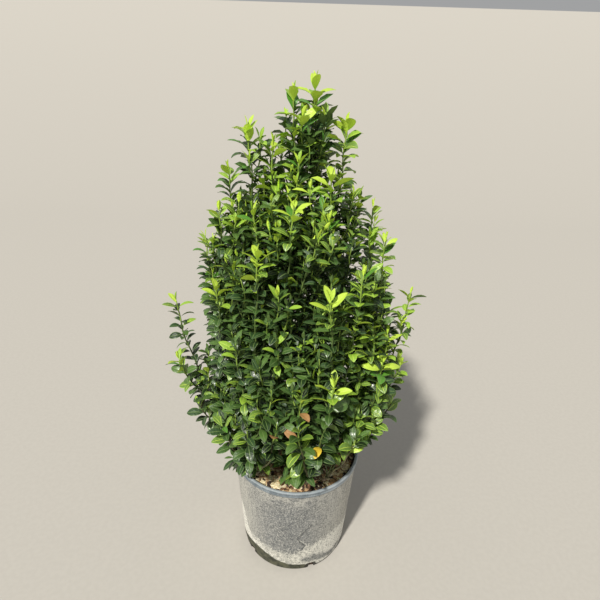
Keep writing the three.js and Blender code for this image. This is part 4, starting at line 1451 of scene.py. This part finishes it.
def chip_piece(materials):
    """Chips of bark and wood lying on the mix, in patches of pale and of dark ones."""
    rng = np.random.default_rng(CHIP_SEED)
    batch = Batch()
    box = np.array([[x, y, z] for z in (-1, 1) for y in (-1, 1) for x in (-1, 1)], float)
    quads = np.array([[0, 2, 3, 1], [4, 5, 7, 6], [0, 1, 5, 4], [2, 6, 7, 3], [0, 4, 6, 2], [1, 3, 7, 5]])

    def broken(half):
        return box * half * rng.uniform(0.62, 1.1, (8, 3))

    def add(shape, spin, place, slot):
        batch.add(shape @ np.array(spin).T + place, quads, quad_slots=slot)

    for _ in range(CHIP_COUNT):
        radius = CHIP_REACH * math.sqrt(rng.uniform(0.045, 1))
        turn = rng.uniform(0, 2 * math.pi)
        x, y = radius * math.cos(turn), radius * math.sin(turn)
        pale = max(math.exp(-math.dist((x, y), place) ** 2 / reach**2) for *place, reach in PALE_CHIPS)
        size = rng.gamma(4, 0.75) * (1 + 0.75 * pale)
        half = size * np.array([rng.uniform(0.9, 1.9), rng.uniform(0.45, 0.9), rng.uniform(0.12, 0.32)])
        half = np.clip(half, 0.3, [9, 5, 1.8])
        shape = broken(half)
        angles = rng.uniform(0, 2 * math.pi), rng.normal(0, 0.32), rng.normal(0, 0.32)
        yaw, pitch, roll = (Matrix.Rotation(angle, 3, axis) for angle, axis in zip(angles, "ZYX"))
        z = float(mix_height(x, y)) + half[2] * 0.6 + rng.uniform(0, 1.8) + pale * 2.5
        pull = min(1.0, (CHIP_REACH + 0.5) / (radius + half[0]))
        slot = int(rng.choice(4, p=mix(CHIP_ODDS, PALE_ODDS, pale)))
        add(shape, yaw @ pitch @ roll, np.array([x * pull, y * pull, z]), slot)
    for k in range(DRAIN_COUNT * NOTCH_CHIPS):
        out, aside, up = drain_axes(k)
        half = rng.uniform([1.2, 1.2, 0.8], [2.6, 2.4, 1.6])
        spin = Matrix.Rotation(rng.uniform(0, 2 * math.pi), 3, "Z")
        place = out * rng.uniform(109, 120) + aside * rng.uniform(-7, 7) + up * rng.uniform(2, 6)
        add(broken(half), spin, place, 3)
    return batch.object("mix_chips", materials, sharp=30)


def stalk_piece(materials):
    """Thin dry stalks that lie on the mix, mostly at the front right."""
    rng = np.random.default_rng(STALK_SEED)
    batch = Batch()
    t = np.linspace(0, 1, 9)[:, None]
    for k in range(STALK_COUNT):
        turn = math.radians(rng.uniform(-100, -20) if k % 4 else rng.uniform(0, 360))
        start = rng.uniform(80, 116) * np.array([math.cos(turn), math.sin(turn)])
        heading, reach = rng.uniform(0, 6.28), rng.uniform(18, 46)
        end = start + reach * np.array([math.cos(heading), math.sin(heading)])
        end *= min(1.0, 128 / np.linalg.norm(end))
        bow = rng.uniform(3, 9)
        run = end - start
        x, y = (mix(start, end, t) + np.array([-run[1], run[0]]) * 0.18 * np.sin(3 * t)).T
        line = np.stack([x, y, mix_height(x, y) + 2 + bow * np.sin(math.pi * t[:, 0])], 1)
        thick = rng.uniform(0.4, 0.9)
        batch.add(*tube(line, np.linspace(thick, thick * 0.5, len(line)), 5), k % 2, k % 2)
    return batch.object("dry_stalks", materials)


# The whole plant


def dress(piece, slot, *nodes):
    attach(piece, "root")
    if nodes:
        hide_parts(*nodes)


def build_plant():
    masses, boughs, shoots = grow()
    names = [mass["name"] for mass in masses]
    dress(bark_piece(boughs, *grains("bark")), "bark", "stem", *[f"bough_{name}" for name in names])
    twigs = twig_piece(shoots, boughs, grains("shoot_woody", "shoot_green", "shoot_pale"))
    dress(twigs, "foliage", *[f"foliage_{name}" for name in names])

    materials = [leaf_material(f"leaf_{name}", *row) for name, row in TINTS.items()]
    for age, trim in TRIMS.items():
        for kind, colour in trim.items():
            materials.append(leaf_material(f"leaf_{kind}_{age}", colour, 0.46, 0.08))
    rng = np.random.default_rng(LEAF_SEED + 1)
    tables = {}
    for name, members in LEAF_PIECES.items():
        records = [leaves_on(shoot, rng) for shoot in shoots if shoot["mass"] in members]
        tables[name] = kept_leaves(list(itertools.chain(*records)))
    turn_leaves(tables)
    for name, members in LEAF_PIECES.items():
        piece = leaf_piece(name, tables[name], materials)
        dress(piece, "foliage", *[f"foliage_{member}" for member in members])


def build_pot():
    dress(pot_piece(pot_material(), rim_material()), "pot_plastic", "pot")
    dress(mix_piece(*grains("mix_soil")), "potting_mix", "potting_mix")
    dress(chip_piece(grains("chip_cream", "chip_tan", "chip_brown", "chip_dark")), "potting_mix")
    dress(stalk_piece(grains("stalk_straw", "stalk_brown")), "potting_mix")


def build_studio():
    """A plain pale floor that sweeps up far behind, a high key light at the front left, and soft fill."""
    scene = bpy.context.scene

    def linked(name, data):
        holder = bpy.data.objects.new(name, data)
        scene.collection.objects.link(holder)
        return holder

    reach = np.concatenate([[-12, 3], np.linspace(3.5, 30, 30)])
    rise = np.where(reach > 3, SWEEP_RISE * np.clip(reach - 3, 0, 40) ** 1.5, 0)
    rows = np.stack([np.zeros_like(reach), reach, rise - 0.0005], 1)
    vertices = np.vstack([rows - [24, 0, 0], rows + [24, 0, 0]])
    k = np.arange(len(rows) - 1)
    faces = np.stack([k, k + len(rows), k + len(rows) + 1, k + 1], 1)
    floor = mesh_object("floor", vertices, [faces], [])
    n = Nodes("floor_pale")
    tone = n.blend(n.ramp(n.noise(90, 2), 0.3, 0.7), (183, 179, 171), (186, 182, 174))
    floor.data.materials.append(n.set(Base_Color=tone, Roughness=0.9))

    world = bpy.data.worlds.new("studio")
    scene.world = world
    world.use_nodes = True
    background = world.node_tree.nodes["Background"]
    background.inputs["Color"].default_value = linear(230, 231, 232)
    background.inputs["Strength"].default_value = FILL_STRENGTH

    key = bpy.data.lights.new("key", "SUN")
    key.energy, key.angle, key.color = KEY_STRENGTH, math.radians(KEY_ANGLE), KEY_COLOUR
    lamp = linked("key", key)
    lamp.rotation_mode = "QUATERNION"
    lamp.rotation_quaternion = Vector(KEY_TOWARDS).to_track_quat("Z", "Y")

    camera = bpy.data.cameras.new("camera")
    camera.sensor_width, camera.lens = 36, CAMERA_LENS
    holder = linked("camera", camera)
    tilt, roll = (math.radians(angle) for angle in CAMERA_TURNS)
    turn = Matrix.Rotation(tilt, 4, "X") @ Matrix.Rotation(roll, 4, "Z")
    holder.matrix_world = Matrix.Translation(CAMERA_PLACE) @ turn
    scene.camera = holder
    scene.view_settings.view_transform = "Standard"


build_pot()
build_plant()
build_studio()
